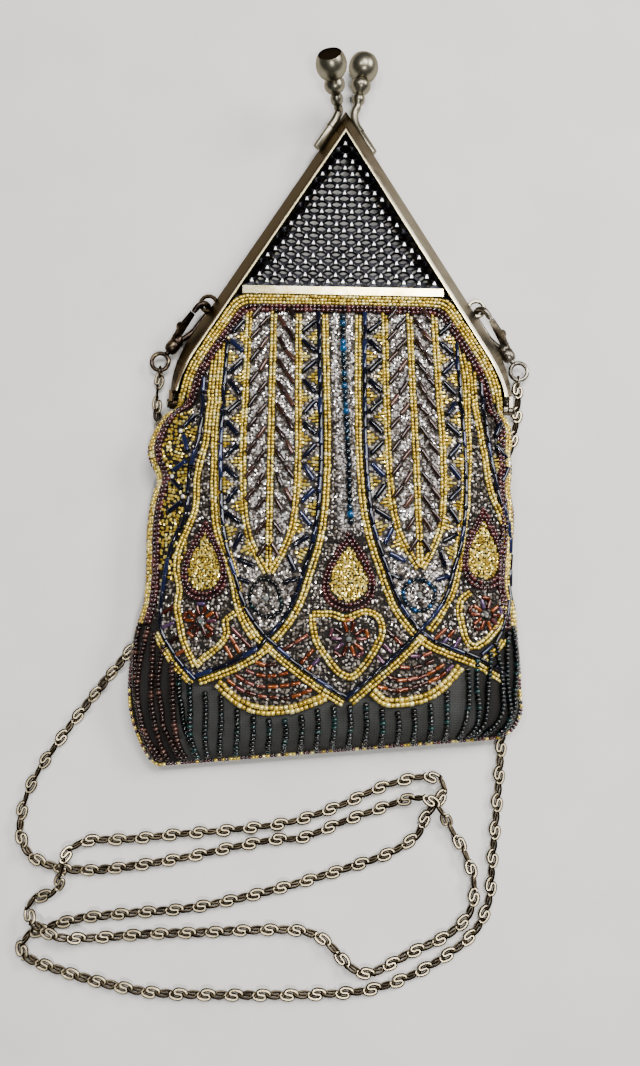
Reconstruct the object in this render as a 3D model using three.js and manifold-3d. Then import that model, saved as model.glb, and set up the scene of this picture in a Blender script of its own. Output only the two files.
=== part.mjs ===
// A beaded evening bag on a triangular clasp frame, lying on its back with its chain laid beside it.
// Millimetres. +X is the bag's right, +Y runs up to the clasp, +Z is away from the surface it lies on.
// The origin is on the flat of the back, under the middle of the pouch.
import * as THREE from 'three';
import { mergeVertices } from 'three/addons/utils/BufferGeometryUtils.js';
import Module from 'manifold-3d';

const wasm = await Module();
wasm.setup();

// Driving dimensions
const GAP = 0.3;                  // clearance between neighbouring pieces
const WALL = 2;                   // beaded cloth of the pouch, lining and beads together
const MID_Z = 8;                  // parting plane between the two half frames
const FRAME_DEPTH = 8;            // depth of one half frame
const RIM_WIDTH = 1.4;            // flat front edge of a half frame
const RIM_THICKNESS = 1.6;
const METAL = 1.7;                // sloping wall of a half frame, measured across the parting plane
const BEVEL = 6;                  // how far the sloping wall flares out beyond the rim
const BEVEL_AT_HINGE = 2.6;
const BAR_LOW_Y = 109.7;          // base bar under the pierced panel
const BAR_HIGH_Y = 113.4;
const BAR_LEVEL = 5.2;            // back face of the bar, above the parting plane
const BAR_THICKNESS = 2;
const PANEL_LEVEL = 4;            // back face of the pierced panel, above the parting plane
const PANEL_THICKNESS = 0.8;
const CHAIN_DIAMETER = 4;
const FLOOR_CLEARANCE = 0.1;      // under the chain

// The rim's outer edge on the right half, from the apex down to the hinge. The left half mirrors it.
const ARM = [
  { x: 0, y: 185, bevel: BEVEL },
  { x: 60.4, y: 85.5, bevel: BEVEL },
  { x: 63.4, y: 80, bevel: 5.2 },
  { x: 65.7, y: 74.5, bevel: 4.1 },
  { x: 66.9, y: 70.4, bevel: 3.2 },
  { x: 67.4, y: 67.6, bevel: BEVEL_AT_HINGE },
];
const ARM_LEAN = Math.atan2(ARM[1].x, ARM[0].y - ARM[1].y);

// Cross-sections of the pouch, from the bottom seam up to the base bar.
// left and right are the side seams, front and back the heights of the two cloth edges there, which are
// joined up to the hinge and open above it. crown is the height of the front's middle.
const SECTIONS = [
  { leftX: -69, leftY: -80, rightX: 64, rightY: -67, front: 6, back: 6, crown: 6 },
  { leftX: -72.8, leftY: -76, rightX: 67.6, rightY: -65, front: 6.5, back: 6.5, crown: 11 },
  { leftX: -75.4, leftY: -70.5, rightX: 70.3, rightY: -61.8, front: 7.4, back: 7.4, crown: 14.5 },
  { leftX: -78.2, leftY: -63.5, rightX: 72, rightY: -56.5, front: 8.4, back: 8.4, crown: 17.5 },
  { leftX: -79.8, leftY: -54, rightX: 71.4, rightY: -49, front: 9.4, back: 9.4, crown: 20.5 },
  { leftX: -79.6, leftY: -42, rightX: 71, rightY: -40, front: 10.2, back: 10.2, crown: 22.6 },
  { leftX: -78, leftY: -29, rightX: 69.9, rightY: -28, front: 10.8, back: 10.8, crown: 24.2 },
  { leftX: -75.2, leftY: -18, rightX: 69.2, rightY: -18, front: 11, back: 11, crown: 25 },
  { leftX: -74.8, leftY: -5, rightX: 67.2, rightY: -7, front: 11, back: 11, crown: 25.6 },
  { leftX: -75.3, leftY: 10, rightX: 68.3, rightY: 8, front: 11, back: 11, crown: 25.8 },
  { leftX: -74.3, leftY: 23, rightX: 69, rightY: 20, front: 11, back: 11, crown: 25.6 },
  { leftX: -72.1, leftY: 31.5, rightX: 67.6, rightY: 30, front: 11, back: 11, crown: 25.2 },
  { leftX: -75.4, leftY: 38.5, rightX: 68.3, rightY: 38, front: 11, back: 11, crown: 24.8 },
  { leftX: -76.6, leftY: 44, rightX: 67.8, rightY: 45, front: 11, back: 11, crown: 24.4 },
  { leftX: -74.3, leftY: 52, rightX: 68.7, rightY: 52, front: 10.6, back: 10.6, crown: 23.8 },
  { leftX: -70.6, leftY: 58.4, rightX: 67.6, rightY: 58.4, front: 9.6, back: 9.6, crown: 23 },
];
const SLIT_ROW = { x: 65.2, y: 62, front: MID_Z, back: MID_Z, crown: 22.4 };
const ARM_ROWS = [
  { y: 67.4, front: 12.6, back: 3.4, crown: 21.4 },
  { y: 73, front: 13.9, back: 2.1, crown: 20.4 },
  { y: 80, front: 14.2, back: 1.8, crown: 19.4 },
  { y: 88.5, front: 14.2, back: 1.8, crown: 18.2 },
  { y: 98.5, front: 14.2, back: 1.8, crown: 16.6 },
  { y: BAR_LOW_Y - GAP, front: 14.2, back: 1.8, crown: 14.8 },
];
const OVERHANG = 16;              // the back leaves the surface this far inside the side seams
const HEEL = 13;                  // and this far above the bottom seam
const SEAM_INSET = 2.4;           // inner wall's inset at the seams
const COLUMNS = 20;
const SWELL = { power: 2.4, roundness: 0.6 };   // how full the front is between its side seams

// Dents and gathers in the front: centre, direction of the crease, half length, half width, depth.
const FOLDS = [
  { x: -68, y: 33, degrees: -12, length: 13, width: 4, depth: 3.2 },
  { x: -70, y: 48, degrees: -25, length: 9, width: 3.5, depth: 1.6 },
  { x: -73, y: -56, degrees: 80, length: 22, width: 2.6, depth: 3.2 },
  { x: -66, y: -58, degrees: 84, length: 20, width: 2.4, depth: 2.4 },
  { x: -58.5, y: -62, degrees: 86, length: 15, width: 2.4, depth: 1.6 },
  { x: 66, y: -48, degrees: 97, length: 20, width: 2.6, depth: 2.6 },
  { x: 58.5, y: -54, degrees: 94, length: 14, width: 2.4, depth: 1.6 },
  { x: 64, y: -10, degrees: 8, length: 11, width: 4, depth: 2 },
  { x: 65, y: 46, degrees: 15, length: 10, width: 4, depth: 1.4 },
];

// Pierced panel: a net of six-sided gaps, one more in each row down from the apex.
const NET = { rows: 9, pitch: 8, drop: 6.6, firstY: 170.6, gapWidth: 5.8, gapHeight: 4.9 };

// Turned knob on each half frame's stem: distance along its axis, radius.
const KNOB_PROFILE = [
  { along: 0, radius: 0 },
  { along: 0, radius: 1.6 },
  { along: 2, radius: 1.6 },
  { along: 3, radius: 2.7 },
  { along: 5.4, radius: 2.7 },
  { along: 6.6, radius: 1.9 },
  { along: 8.2, radius: 3.6 },
  { along: 10.2, radius: 4.4 },
  { along: 12.2, radius: 4 },
  { along: 13.4, radius: 2.9 },
  { along: 14.6, radius: 4.6 },
  { along: 16.6, radius: 6.1 },
  { along: 19, radius: 6.5 },
  { along: 21.4, radius: 6.2 },
  { along: 23.8, radius: 4.9 },
  { along: 23.8, radius: 0 },
];
const TURNED_SIDES = 12;
// Stem from the strap to the knob: how far it is sunk in each, its reach before the bend, and where it bends.
const STEM = { radius: 1.6, inStrap: 1.5, inKnob: 0.6, reach: 3.5, bendShare: 0.4 };
// Strap on the arm's outer wall: distance from the apex, and its near side's distance up the wall.
const STRAP = { start: 5.5, length: 16.5, width: 2.8, thickness: 3.2, edge: -0.5 };
const KNOBS = [
  { name: 'front_knob', side: -1, base: [-3.4, 195.2, 12.2], lean: -10, rise: 63, level: 1 },
  { name: 'back_knob', side: 1, base: [4.8, 198.7, 6.9], lean: 7.5, rise: 1.5, level: -1 },
];

// Hinge at the foot of the arms
const HINGE_Y = 64.4;
const KNUCKLE = { radius: 2.3, bore: 1.2, boreOverrun: 2, length: 1.6, frontX: 68.6, backX: 66.7 };
const WEB = { near: 0.6, far: 3.2, overlap: 1.6 };   // from the knuckle's middle to its half frame's foot
const PIN = { radius: 0.9, headRadius: 1.9, headLength: 0.8, innerX: 66.2, headX: 70.5 };

// Eye on each side of the back half frame, and the clip that hangs from it
const LUG = { armY: 104, radius: 3.4, wire: 0.9, z: 6.9, sunk: 0.5 };
const HOOK = {
  radius: 3.3, wire: 1.3, tip: 6.3, shoulder: 4.5, straight: 12.6,
  neck: 16.6, neckV: -1.98, join: 20, joinV: -0.4,
};
const HOOK_STEPS = 20;
const HOOK_SIDES = 8;
const BARREL = { start: 17.5, end: 25.5, radius: 2.8, endRadius: 1.9, chamfer: 2, bore: 1.3, boreDepth: 3.6 };
const LEVER = {
  pivotU: 18.4, pivotV: 1.9, pin: 0.6, bore: 0.9, width: 2, thickness: 1.5,
  root: 1.6, rootFrom: -2.2, rootTo: 1.9, heelBack: 1.2, heelDrop: 1.44,
};
// The lever's thumb tab: distances back from the pivot, and its rise over the hook's arm
const THUMB_TAB = {
  start: 2.4, startRise: 0.7, shoulder: 3.2, crest: 4.4, rise: 2.2, fall: 5.6, fallRise: 2, end: 6,
};
const LEVER_SLOT = { width: 2.1, startU: 14.5, endU: 20.4, floorV: -0.9, topV: 6 };
const EYE = { radius: 3.6, wire: 0.9, post: 1, postStart: 22.6, centre: 30.9 };
const CLIPS = [
  { side: 'left', sign: -1, heading: [-0.62, -0.785], drop: 0.1, roll: 30 },
  { side: 'right', sign: 1, heading: [0.571, -0.821], drop: 0.1, roll: 30 },
];

// The chain's route over the surface, from the left clip's eye to the right one's. over lifts it clear
// of the stretch that it crosses.
const ROUTE = [
  { x: -75.6, y: 78.3 },
  { x: -76.6, y: 70 },
  { x: -75.8, y: 60 },
  { x: -73.4, y: 48 },
  { x: -71.6, y: 33 },
  { x: -72.4, y: 16 },
  { x: -72.5, y: 0 },
  { x: -73.4, y: -15 },
  { x: -79.6, y: -32 },
  { x: -94, y: -52 },
  { x: -108.2, y: -72 },
  { x: -117.8, y: -88 },
  { x: -121.6, y: -103 },
  { x: -118.6, y: -114 },
  { x: -109, y: -119.6 },
  { x: -93.5, y: -121 },
  { x: -73.5, y: -118.6 },
  { x: -54.3, y: -115 },
  { x: -36, y: -110.8 },
  { x: -21, y: -108 },
  { x: -11.5, y: -107.2 },
  { x: 5.1, y: -100.5 },
  { x: 20, y: -95 },
  { x: 29.5, y: -91.6, over: 0.3 },
  { x: 36.6, y: -91.4, over: 1 },
  { x: 41.4, y: -95.4, over: 0.9 },
  { x: 45.9, y: -102.6 },
  { x: 52, y: -113 },
  { x: 55, y: -124 },
  { x: 52.6, y: -134.5 },
  { x: 44, y: -142.3 },
  { x: 30, y: -149 },
  { x: 18.4, y: -155.2 },
  { x: 11.2, y: -156.2 },
  { x: 4.6, y: -151.6 },
  { x: -2.4, y: -144.8 },
  { x: -12, y: -141.6 },
  { x: -27.5, y: -141.6 },
  { x: -48, y: -142.9 },
  { x: -70, y: -144 },
  { x: -86, y: -145.4 },
  { x: -95, y: -145.6, over: 0.4 },
  { x: -102, y: -144.8, over: 1 },
  { x: -109, y: -142.4, over: 1 },
  { x: -114.6, y: -137.8, over: 0.7 },
  { x: -114.6, y: -131.8 },
  { x: -108.4, y: -130.4, over: 0.1 },
  { x: -104.4, y: -126, over: 0.7 },
  { x: -103.4, y: -120, over: 1 },
  { x: -101.6, y: -114, over: 0.5 },
  { x: -95, y: -110.2 },
  { x: -79.4, y: -109.2 },
  { x: -60.4, y: -107 },
  { x: -38.7, y: -104.8 },
  { x: -17, y: -101.6 },
  { x: 1.9, y: -95.2 },
  { x: 18.6, y: -87.6 },
  { x: 34, y: -83.4 },
  { x: 42.4, y: -85 },
  { x: 42, y: -91 },
  { x: 36.4, y: -97.6 },
  { x: 33.6, y: -104.4 },
  { x: 23.6, y: -111.6 },
  { x: 7, y: -117.8 },
  { x: -21.4, y: -126.6 },
  { x: -52, y: -133.8 },
  { x: -78, y: -136.6 },
  { x: -96, y: -138.8 },
  { x: -108, y: -142.2 },
  { x: -117, y: -146.8 },
  { x: -116.6, y: -152.6 },
  { x: -106, y: -156.8 },
  { x: -87.7, y: -161.6 },
  { x: -66.2, y: -165 },
  { x: -34.7, y: -165.2 },
  { x: -3, y: -164.2 },
  { x: 17, y: -161.8 },
  { x: 35.7, y: -154.4 },
  { x: 53, y: -142.6 },
  { x: 60.2, y: -130 },
  { x: 62, y: -114 },
  { x: 64.4, y: -88 },
  { x: 65.8, y: -70 },
  { x: 67.6, y: -52 },
  { x: 66.8, y: -26 },
  { x: 65.4, y: -4 },
  { x: 66, y: 18 },
  { x: 66.6, y: 36 },
  { x: 71, y: 50 },
  { x: 73.6, y: 64 },
  { x: 74, y: 77.1 },
];
const ROUTE_MEETING = 52;         // the two halves of the chain meet at this point of the route
const CHAIN_SIDES = 8;
const CHAIN_LIFT = 4.6;           // rise where it crosses itself
const DRAPE_REACH = 7;            // the cloth over the hidden stretches is lifted within this distance
const HIDDEN = { yLow: -75, yHigh: 58, xLeft: -85 };

const COLOURS = {
  cloth: { color: 0x6b5630, roughness: 0.55, metalness: 0.1 },
  brass: { color: 0xb8a578, roughness: 0.35, metalness: 1 },
  bar: { color: 0xe8cf86, roughness: 0.25, metalness: 1 },
  gunmetal: { color: 0x2a2a30, roughness: 0.4, metalness: 1 },
  chain: { color: 0x5a4c40, roughness: 0.4, metalness: 1 },
};

const bag = new THREE.Group();

function addMesh(name, geometry, look, parent = bag) {
  const mesh = new THREE.Mesh(geometry, new THREE.MeshStandardMaterial(COLOURS[look]));
  mesh.name = name;
  parent.add(mesh);
  return mesh;
}

function indexedGeometry(positions, index) {
  const geometry = new THREE.BufferGeometry();
  geometry.setAttribute('position', new THREE.Float32BufferAttribute(positions, 3));
  geometry.setIndex(index);
  return geometry;
}

// Keeps only the corners of a shape, merged, with no triangle that has shrunk to a line.
function cornersOnly(geometry) {
  const bare = geometry.clone();
  bare.deleteAttribute('normal');
  bare.deleteAttribute('uv');
  const merged = mergeVertices(bare, 1e-4);
  const corners = merged.index.array;
  const kept = [];
  for (let i = 0; i < corners.length; i += 3) {
    const [a, b, c] = corners.slice(i, i + 3);
    if (a !== b && b !== c && c !== a) kept.push(a, b, c);
  }
  merged.setIndex(kept);
  return merged;
}

function toSolid(geometry) {
  const clean = cornersOnly(geometry);
  const vertProperties = new Float32Array(clean.attributes.position.array);
  const triVerts = new Uint32Array(clean.index.array);
  return new wasm.Manifold(new wasm.Mesh({ numProp: 3, vertProperties, triVerts }));
}

function toGeometry(solid) {
  const { vertProperties, triVerts } = solid.getMesh();
  return indexedGeometry(Array.from(vertProperties), Array.from(triVerts));
}

function fuse(...shapes) {
  return shapes.map(toSolid).reduce((whole, next) => whole.add(next));
}

// A closed skin through equal rings of points, with flat ends; the volume's sign turns its faces outwards.
function loft(rings, endContour) {
  const size = rings[0].length;
  const positions = rings.flat().flatMap((p) => [p.x, p.y, p.z]);
  const index = [];
  for (let i = 0; i + 1 < rings.length; i++) {
    for (let k = 0; k < size; k++) {
      const next = (k + 1) % size;
      const [a, b] = [i * size + k, i * size + next];
      index.push(a, b, a + size, b, b + size, a + size);
    }
  }
  const last = (rings.length - 1) * size;
  for (const [a, b, c] of THREE.ShapeUtils.triangulateShape(endContour, [])) {
    index.push(c, b, a, last + a, last + b, last + c);
  }
  return facesOut(indexedGeometry(positions, index));
}

function facesOut(geometry) {
  const position = geometry.attributes.position;
  const index = geometry.index.array;
  const corner = [0, 1, 2].map(() => new THREE.Vector3());
  let volume = 0;
  for (let i = 0; i < index.length; i += 3) {
    corner.forEach((v, k) => v.fromBufferAttribute(position, index[i + k]));
    volume += corner[0].dot(corner[1].clone().cross(corner[2])) / 6;
  }
  if (volume < 0) geometry.setIndex(Array.from(index).reverse());
  return geometry;
}

function rimX(y) {
  const below = ARM.findIndex((p) => p.y <= y);
  const [high, low] = [ARM[below - 1], ARM[below]];
  return THREE.MathUtils.mapLinear(y, high.y, low.y, high.x, low.x);
}

// Stations of the whole arch, left foot to right foot, each with its outward mitre and flare.
function archStations() {
  const right = ARM.map((p) => ({ at: new THREE.Vector2(p.x, p.y), bevel: p.bevel }));
  const left = ARM.slice(1).reverse().map((p) => ({ at: new THREE.Vector2(-p.x, p.y), bevel: p.bevel }));
  const stations = [...left, ...right];
  const outward = (from, to) => {
    const along = to.at.clone().sub(from.at).normalize();
    return new THREE.Vector2(-along.y, along.x);
  };
  return stations.map((station, i) => {
    const before = stations[Math.max(i - 1, 0)];
    const after = stations[Math.min(i + 1, stations.length - 1)];
    const first = before === station ? outward(station, after) : outward(before, station);
    const second = after === station ? first : outward(station, after);
    const mitre = first.clone().add(second).normalize();
    mitre.multiplyScalar(1 / mitre.dot(first));
    return { ...station, mitre };
  });
}

// Wall of a half frame: outer foot, rim, and back down the inside.
function frameSection(bevel) {
  return [
    new THREE.Vector2(bevel, GAP / 2),
    new THREE.Vector2(0, FRAME_DEPTH),
    new THREE.Vector2(-RIM_WIDTH, FRAME_DEPTH),
    new THREE.Vector2(-RIM_WIDTH, FRAME_DEPTH - RIM_THICKNESS),
    new THREE.Vector2(bevel - METAL, GAP / 2),
  ];
}

function halfFrameArch(level) {
  const rings = archStations().map(({ at, bevel, mitre }) => frameSection(bevel).map((p) => {
    const place = at.clone().addScaledVector(mitre, p.x);
    return new THREE.Vector3(place.x, place.y, MID_Z + level * p.y);
  }));
  return loft(rings, frameSection(BEVEL_AT_HINGE));
}

function cylinderAlongX(radius, fromX, toX, y, z, sides) {
  const geometry = new THREE.CylinderGeometry(radius, radius, Math.abs(toX - fromX), sides);
  geometry.rotateZ(Math.PI / 2);
  geometry.translate((fromX + toX) / 2, y, z);
  return geometry;
}

function block(fromX, toX, fromY, toY, fromZ, toZ) {
  const geometry = new THREE.BoxGeometry(Math.abs(toX - fromX), toY - fromY, toZ - fromZ);
  geometry.translate((fromX + toX) / 2, (fromY + toY) / 2, (fromZ + toZ) / 2);
  return geometry;
}

// A hinge knuckle with the web that carries it on its own half frame, bored for the pin.
function addKnuckles(frame, level) {
  const innerX = level > 0 ? KNUCKLE.frontX : KNUCKLE.backX;
  const outerX = innerX + KNUCKLE.length;
  const webZ = [MID_Z + level * WEB.near, MID_Z + level * WEB.far].sort((a, b) => a - b);
  const [boreFrom, boreTo] = [innerX - KNUCKLE.boreOverrun, outerX + KNUCKLE.boreOverrun];
  let whole = frame;
  for (const side of [-1, 1]) {
    const barrel = cylinderAlongX(KNUCKLE.radius, side * innerX, side * outerX, HINGE_Y, MID_Z, 14);
    const web = block(side * innerX, side * outerX, HINGE_Y, ARM.at(-1).y + WEB.overlap, ...webZ);
    const bore = cylinderAlongX(KNUCKLE.bore, side * boreFrom, side * boreTo, HINGE_Y, MID_Z, 12);
    whole = whole.add(toSolid(barrel)).add(toSolid(web)).subtract(toSolid(bore));
  }
  return whole;
}

function lugCentre(sign) {
  const away = BEVEL * (1 - (MID_Z - LUG.z) / FRAME_DEPTH) + LUG.radius - LUG.sunk;
  const x = rimX(LUG.armY) + away * Math.cos(ARM_LEAN);
  return new THREE.Vector3(sign * x, LUG.armY + away * Math.sin(ARM_LEAN), LUG.z);
}

function lugEye(sign) {
  const geometry = new THREE.TorusGeometry(LUG.radius, LUG.wire, 6, 14);
  geometry.translate(...lugCentre(sign).toArray());
  return geometry;
}

function buildFrames() {
  const front = addKnuckles(toSolid(halfFrameArch(1)), 1);
  addMesh('front_frame', toGeometry(front), 'brass');
  const back = addKnuckles(toSolid(halfFrameArch(-1)), -1);
  const withEyes = back.add(toSolid(lugEye(-1))).add(toSolid(lugEye(1)));
  addMesh('back_frame', toGeometry(withEyes), 'brass');
  for (const [name, side] of [['left', -1], ['right', 1]]) {
    const shank = cylinderAlongX(PIN.radius, side * PIN.innerX, side * (PIN.headX + 0.2), HINGE_Y, MID_Z, 12);
    const headEnd = side * (PIN.headX + PIN.headLength);
    const head = cylinderAlongX(PIN.headRadius, side * PIN.headX, headEnd, HINGE_Y, MID_Z, 12);
    addMesh(`${name}_hinge_pin`, toGeometry(fuse(shank, head)), 'brass');
  }
}

function netGap(x, y) {
  const halfWidth = NET.gapWidth / 2;
  const halfHeight = NET.gapHeight / 2;
  const corners = [[1, 0], [0.45, 1], [-0.45, 1], [-1, 0], [-0.45, -1], [0.45, -1]];
  return new THREE.Path(corners.map(([u, v]) => new THREE.Vector2(x + u * halfWidth, y + v * halfHeight)));
}

function piercedPanel() {
  const inset = (RIM_WIDTH / 4) / Math.cos(ARM_LEAN);
  const lowY = BAR_HIGH_Y + GAP;
  const lowX = rimX(lowY) - inset;
  const highY = ARM[0].y - inset / Math.tan(ARM_LEAN);
  const outline = new THREE.Shape([
    new THREE.Vector2(-lowX, lowY),
    new THREE.Vector2(lowX, lowY),
    new THREE.Vector2(0, highY),
  ]);
  for (let row = 0; row < NET.rows; row++) {
    for (let k = 0; k <= row; k++) {
      outline.holes.push(netGap((k - row / 2) * NET.pitch, NET.firstY - row * NET.drop));
    }
  }
  return new THREE.ExtrudeGeometry(outline, { depth: PANEL_THICKNESS, bevelEnabled: false });
}

function buildPanels() {
  const barLength = 2 * (rimX(BAR_HIGH_Y) - (RIM_WIDTH + GAP) / Math.cos(ARM_LEAN));
  for (const [name, level] of [['front', 1], ['back', -1]]) {
    const panel = addMesh(`${name}_grille`, cornersOnly(piercedPanel()), 'gunmetal');
    const panelMiddle = MID_Z + level * (PANEL_LEVEL + PANEL_THICKNESS / 2);
    panel.position.z = panelMiddle - PANEL_THICKNESS / 2;
    const strip = new THREE.BoxGeometry(barLength, BAR_HIGH_Y - BAR_LOW_Y, BAR_THICKNESS);
    const bar = addMesh(`${name}_bar`, strip, 'bar');
    bar.position.set(0, (BAR_LOW_Y + BAR_HIGH_Y) / 2, MID_Z + level * (BAR_LEVEL + BAR_THICKNESS / 2));
  }
}

// A strap on the arm's outer wall, a bent stem, and a turned knob at the stem's end.
function knob({ side, base, lean, rise, level }) {
  const start = new THREE.Vector3(...base);
  const [turn, lift] = [THREE.MathUtils.degToRad(lean), THREE.MathUtils.degToRad(rise)];
  const axis = new THREE.Vector3(Math.sin(turn), Math.cos(turn) * Math.cos(lift), Math.sin(lift));
  axis.normalize();
  const profile = KNOB_PROFILE.map((p) => new THREE.Vector2(p.radius, p.along));
  const turned = new THREE.LatheGeometry(profile, TURNED_SIDES);
  turned.applyQuaternion(new THREE.Quaternion().setFromUnitVectors(new THREE.Vector3(0, 1, 0), axis));
  turned.translate(...base);

  const wallLean = Math.atan2(BEVEL, FRAME_DEPTH);
  const downArm = new THREE.Vector3(side * Math.sin(ARM_LEAN), -Math.cos(ARM_LEAN), 0);
  const outFlat = new THREE.Vector3(side * Math.cos(ARM_LEAN), Math.sin(ARM_LEAN), 0);
  const upWall = new THREE.Vector3(0, 0, level * Math.cos(wallLean));
  upWall.addScaledVector(outFlat, -Math.sin(wallLean));
  const offWall = outFlat.clone().multiplyScalar(Math.cos(wallLean));
  offWall.z = level * Math.sin(wallLean);
  const apex = new THREE.Vector3(0, ARM[0].y + BEVEL / Math.sin(ARM_LEAN), MID_Z);
  const centre = apex.clone().addScaledVector(downArm, STRAP.start + STRAP.length / 2);
  centre.addScaledVector(upWall, STRAP.edge + STRAP.width / 2);
  centre.addScaledVector(offWall, GAP + STRAP.thickness / 2);
  const strap = new THREE.BoxGeometry(STRAP.length, STRAP.width, STRAP.thickness);
  const basis = new THREE.Matrix4().makeBasis(downArm, upWall, downArm.clone().cross(upWall));
  strap.applyMatrix4(basis.setPosition(centre));

  const strapTop = centre.clone().addScaledVector(downArm, STEM.inStrap - STRAP.length / 2);
  strapTop.addScaledVector(offWall, STEM.radius - STRAP.thickness / 2);
  const bend = strapTop.clone().addScaledVector(downArm, -STEM.reach);
  const stemEnd = start.clone().addScaledVector(axis, STEM.inKnob);
  const path = new THREE.CatmullRomCurve3([strapTop, bend.lerp(start, STEM.bendShare), stemEnd]);
  const round = new THREE.Shape().absarc(0, 0, STEM.radius, 0, 2 * Math.PI);
  const stem = new THREE.ExtrudeGeometry(round, { steps: 5, curveSegments: 5, extrudePath: path });
  return toGeometry(fuse(turned, strap, stem));
}

function buildKnobs() {
  for (const row of KNOBS) addMesh(row.name, knob(row), 'brass');
}

// The clip lies along its own +X from the hook's top, with its lever on +Y and its thickness along Z.
// A whole turn takes twice as many sides as an arc's segments.
function tube(points, radius, steps, sides) {
  const path = new THREE.CatmullRomCurve3(points.map(([u, v]) => new THREE.Vector3(u, v, 0)));
  const round = new THREE.Shape().absarc(0, 0, radius, 0, 2 * Math.PI);
  return new THREE.ExtrudeGeometry(round, { steps, curveSegments: sides / 2, extrudePath: path });
}

function hookBody() {
  const points = [[HOOK.tip, HOOK.radius], [HOOK.shoulder, HOOK.radius]];
  for (let k = 1; k < 6; k++) {
    const angle = Math.PI / 2 + (k * Math.PI) / 6;
    points.push([HOOK.radius + HOOK.radius * Math.cos(angle), HOOK.radius * Math.sin(angle)]);
  }
  points.push([HOOK.shoulder, -HOOK.radius], [HOOK.straight, -HOOK.radius]);
  points.push([HOOK.neck, HOOK.neckV], [HOOK.join, HOOK.joinV]);
  const hook = tube(points, HOOK.wire, HOOK_STEPS, HOOK_SIDES);
  const outline = [
    [0, BARREL.start], [BARREL.endRadius, BARREL.start], [BARREL.radius, BARREL.start + BARREL.chamfer],
    [BARREL.radius, BARREL.end - BARREL.chamfer], [BARREL.endRadius, BARREL.end], [0, BARREL.end],
  ];
  const profile = outline.map(([r, u]) => new THREE.Vector2(r, u));
  const barrel = new THREE.LatheGeometry(profile, TURNED_SIDES);
  barrel.rotateZ(-Math.PI / 2);
  const { width, startU, endU, floorV, topV } = LEVER_SLOT;
  const slot = block(startU, endU, floorV, topV, -width / 2, width / 2);
  const boreLength = BARREL.boreDepth * 2;
  const bore = new THREE.CylinderGeometry(BARREL.bore, BARREL.bore, boreLength, TURNED_SIDES);
  bore.rotateZ(Math.PI / 2).translate(BARREL.end, 0, 0);
  const pinLength = 1.4 * BARREL.radius;
  const pin = new THREE.CylinderGeometry(LEVER.pin, LEVER.pin, pinLength, 10);
  pin.rotateX(Math.PI / 2).translate(LEVER.pivotU, LEVER.pivotV, 0);
  const body = fuse(hook, barrel).subtract(toSolid(slot)).subtract(toSolid(bore)).add(toSolid(pin));
  return toGeometry(body);
}

// The sprung lever: a rounded root on the pin, a thumb tab, and a tip that closes on the hook.
function lever() {
  const tipU = HOOK.tip + GAP;
  const half = LEVER.width / 2;
  const { heelBack, heelDrop, rootFrom, rootTo } = LEVER;
  const tabU = (back) => LEVER.pivotU - back;
  const crest = HOOK.radius + THUMB_TAB.rise;
  const outline = new THREE.Shape();
  outline.moveTo(tipU, HOOK.radius - half);
  outline.lineTo(LEVER.pivotU - heelBack, LEVER.pivotV - heelDrop);
  outline.absarc(LEVER.pivotU, LEVER.pivotV, LEVER.root, rootFrom, rootTo, false);
  outline.lineTo(tabU(THUMB_TAB.start), HOOK.radius + THUMB_TAB.startRise);
  outline.quadraticCurveTo(tabU(THUMB_TAB.shoulder), crest, tabU(THUMB_TAB.crest), crest);
  const fallV = HOOK.radius + THUMB_TAB.fallRise;
  outline.quadraticCurveTo(tabU(THUMB_TAB.fall), fallV, tabU(THUMB_TAB.end), HOOK.radius + half);
  outline.lineTo(tipU, HOOK.radius + half);
  outline.closePath();
  outline.holes.push(new THREE.Path().absarc(LEVER.pivotU, LEVER.pivotV, LEVER.bore, 0, 2 * Math.PI));
  const settings = { depth: LEVER.thickness, bevelEnabled: false, curveSegments: 5 };
  const plate = new THREE.ExtrudeGeometry(outline, settings);
  plate.translate(0, 0, -LEVER.thickness / 2);
  return cornersOnly(plate);
}

// The swivel eye's ring, with the post that turns in the barrel.
function swivelEye() {
  const ring = new THREE.TorusGeometry(EYE.radius, EYE.wire, 6, 14);
  ring.translate(EYE.centre, 0, 0);
  const length = EYE.centre - EYE.radius - EYE.postStart;
  const post = new THREE.CylinderGeometry(EYE.post, EYE.post, length, 10).rotateZ(Math.PI / 2);
  post.translate(EYE.postStart + length / 2, 0, 0);
  return toGeometry(fuse(ring, post));
}

// The clip's own axes: along it, across it on the lever's side, and through its thickness.
function clipPlace({ sign, heading, drop, roll }) {
  const level = new THREE.Vector3(...heading, 0).normalize();
  const along = new THREE.Vector3(level.x, level.y, -drop).normalize();
  const sideways = new THREE.Vector3(0, 0, 1).cross(along).normalize().multiplyScalar(sign);
  const upright = along.clone().cross(sideways).multiplyScalar(sign).normalize();
  const tilt = THREE.MathUtils.degToRad(roll);
  const across = upright.multiplyScalar(Math.cos(tilt)).addScaledVector(sideways, Math.sin(tilt));
  const through = along.clone().cross(across);
  const wireOffset = HOOK.wire + GAP + LUG.wire;
  const origin = lugCentre(sign).addScaledVector(level, LUG.radius).addScaledVector(along, -wireOffset);
  return { along, across, through, origin };
}

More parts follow.
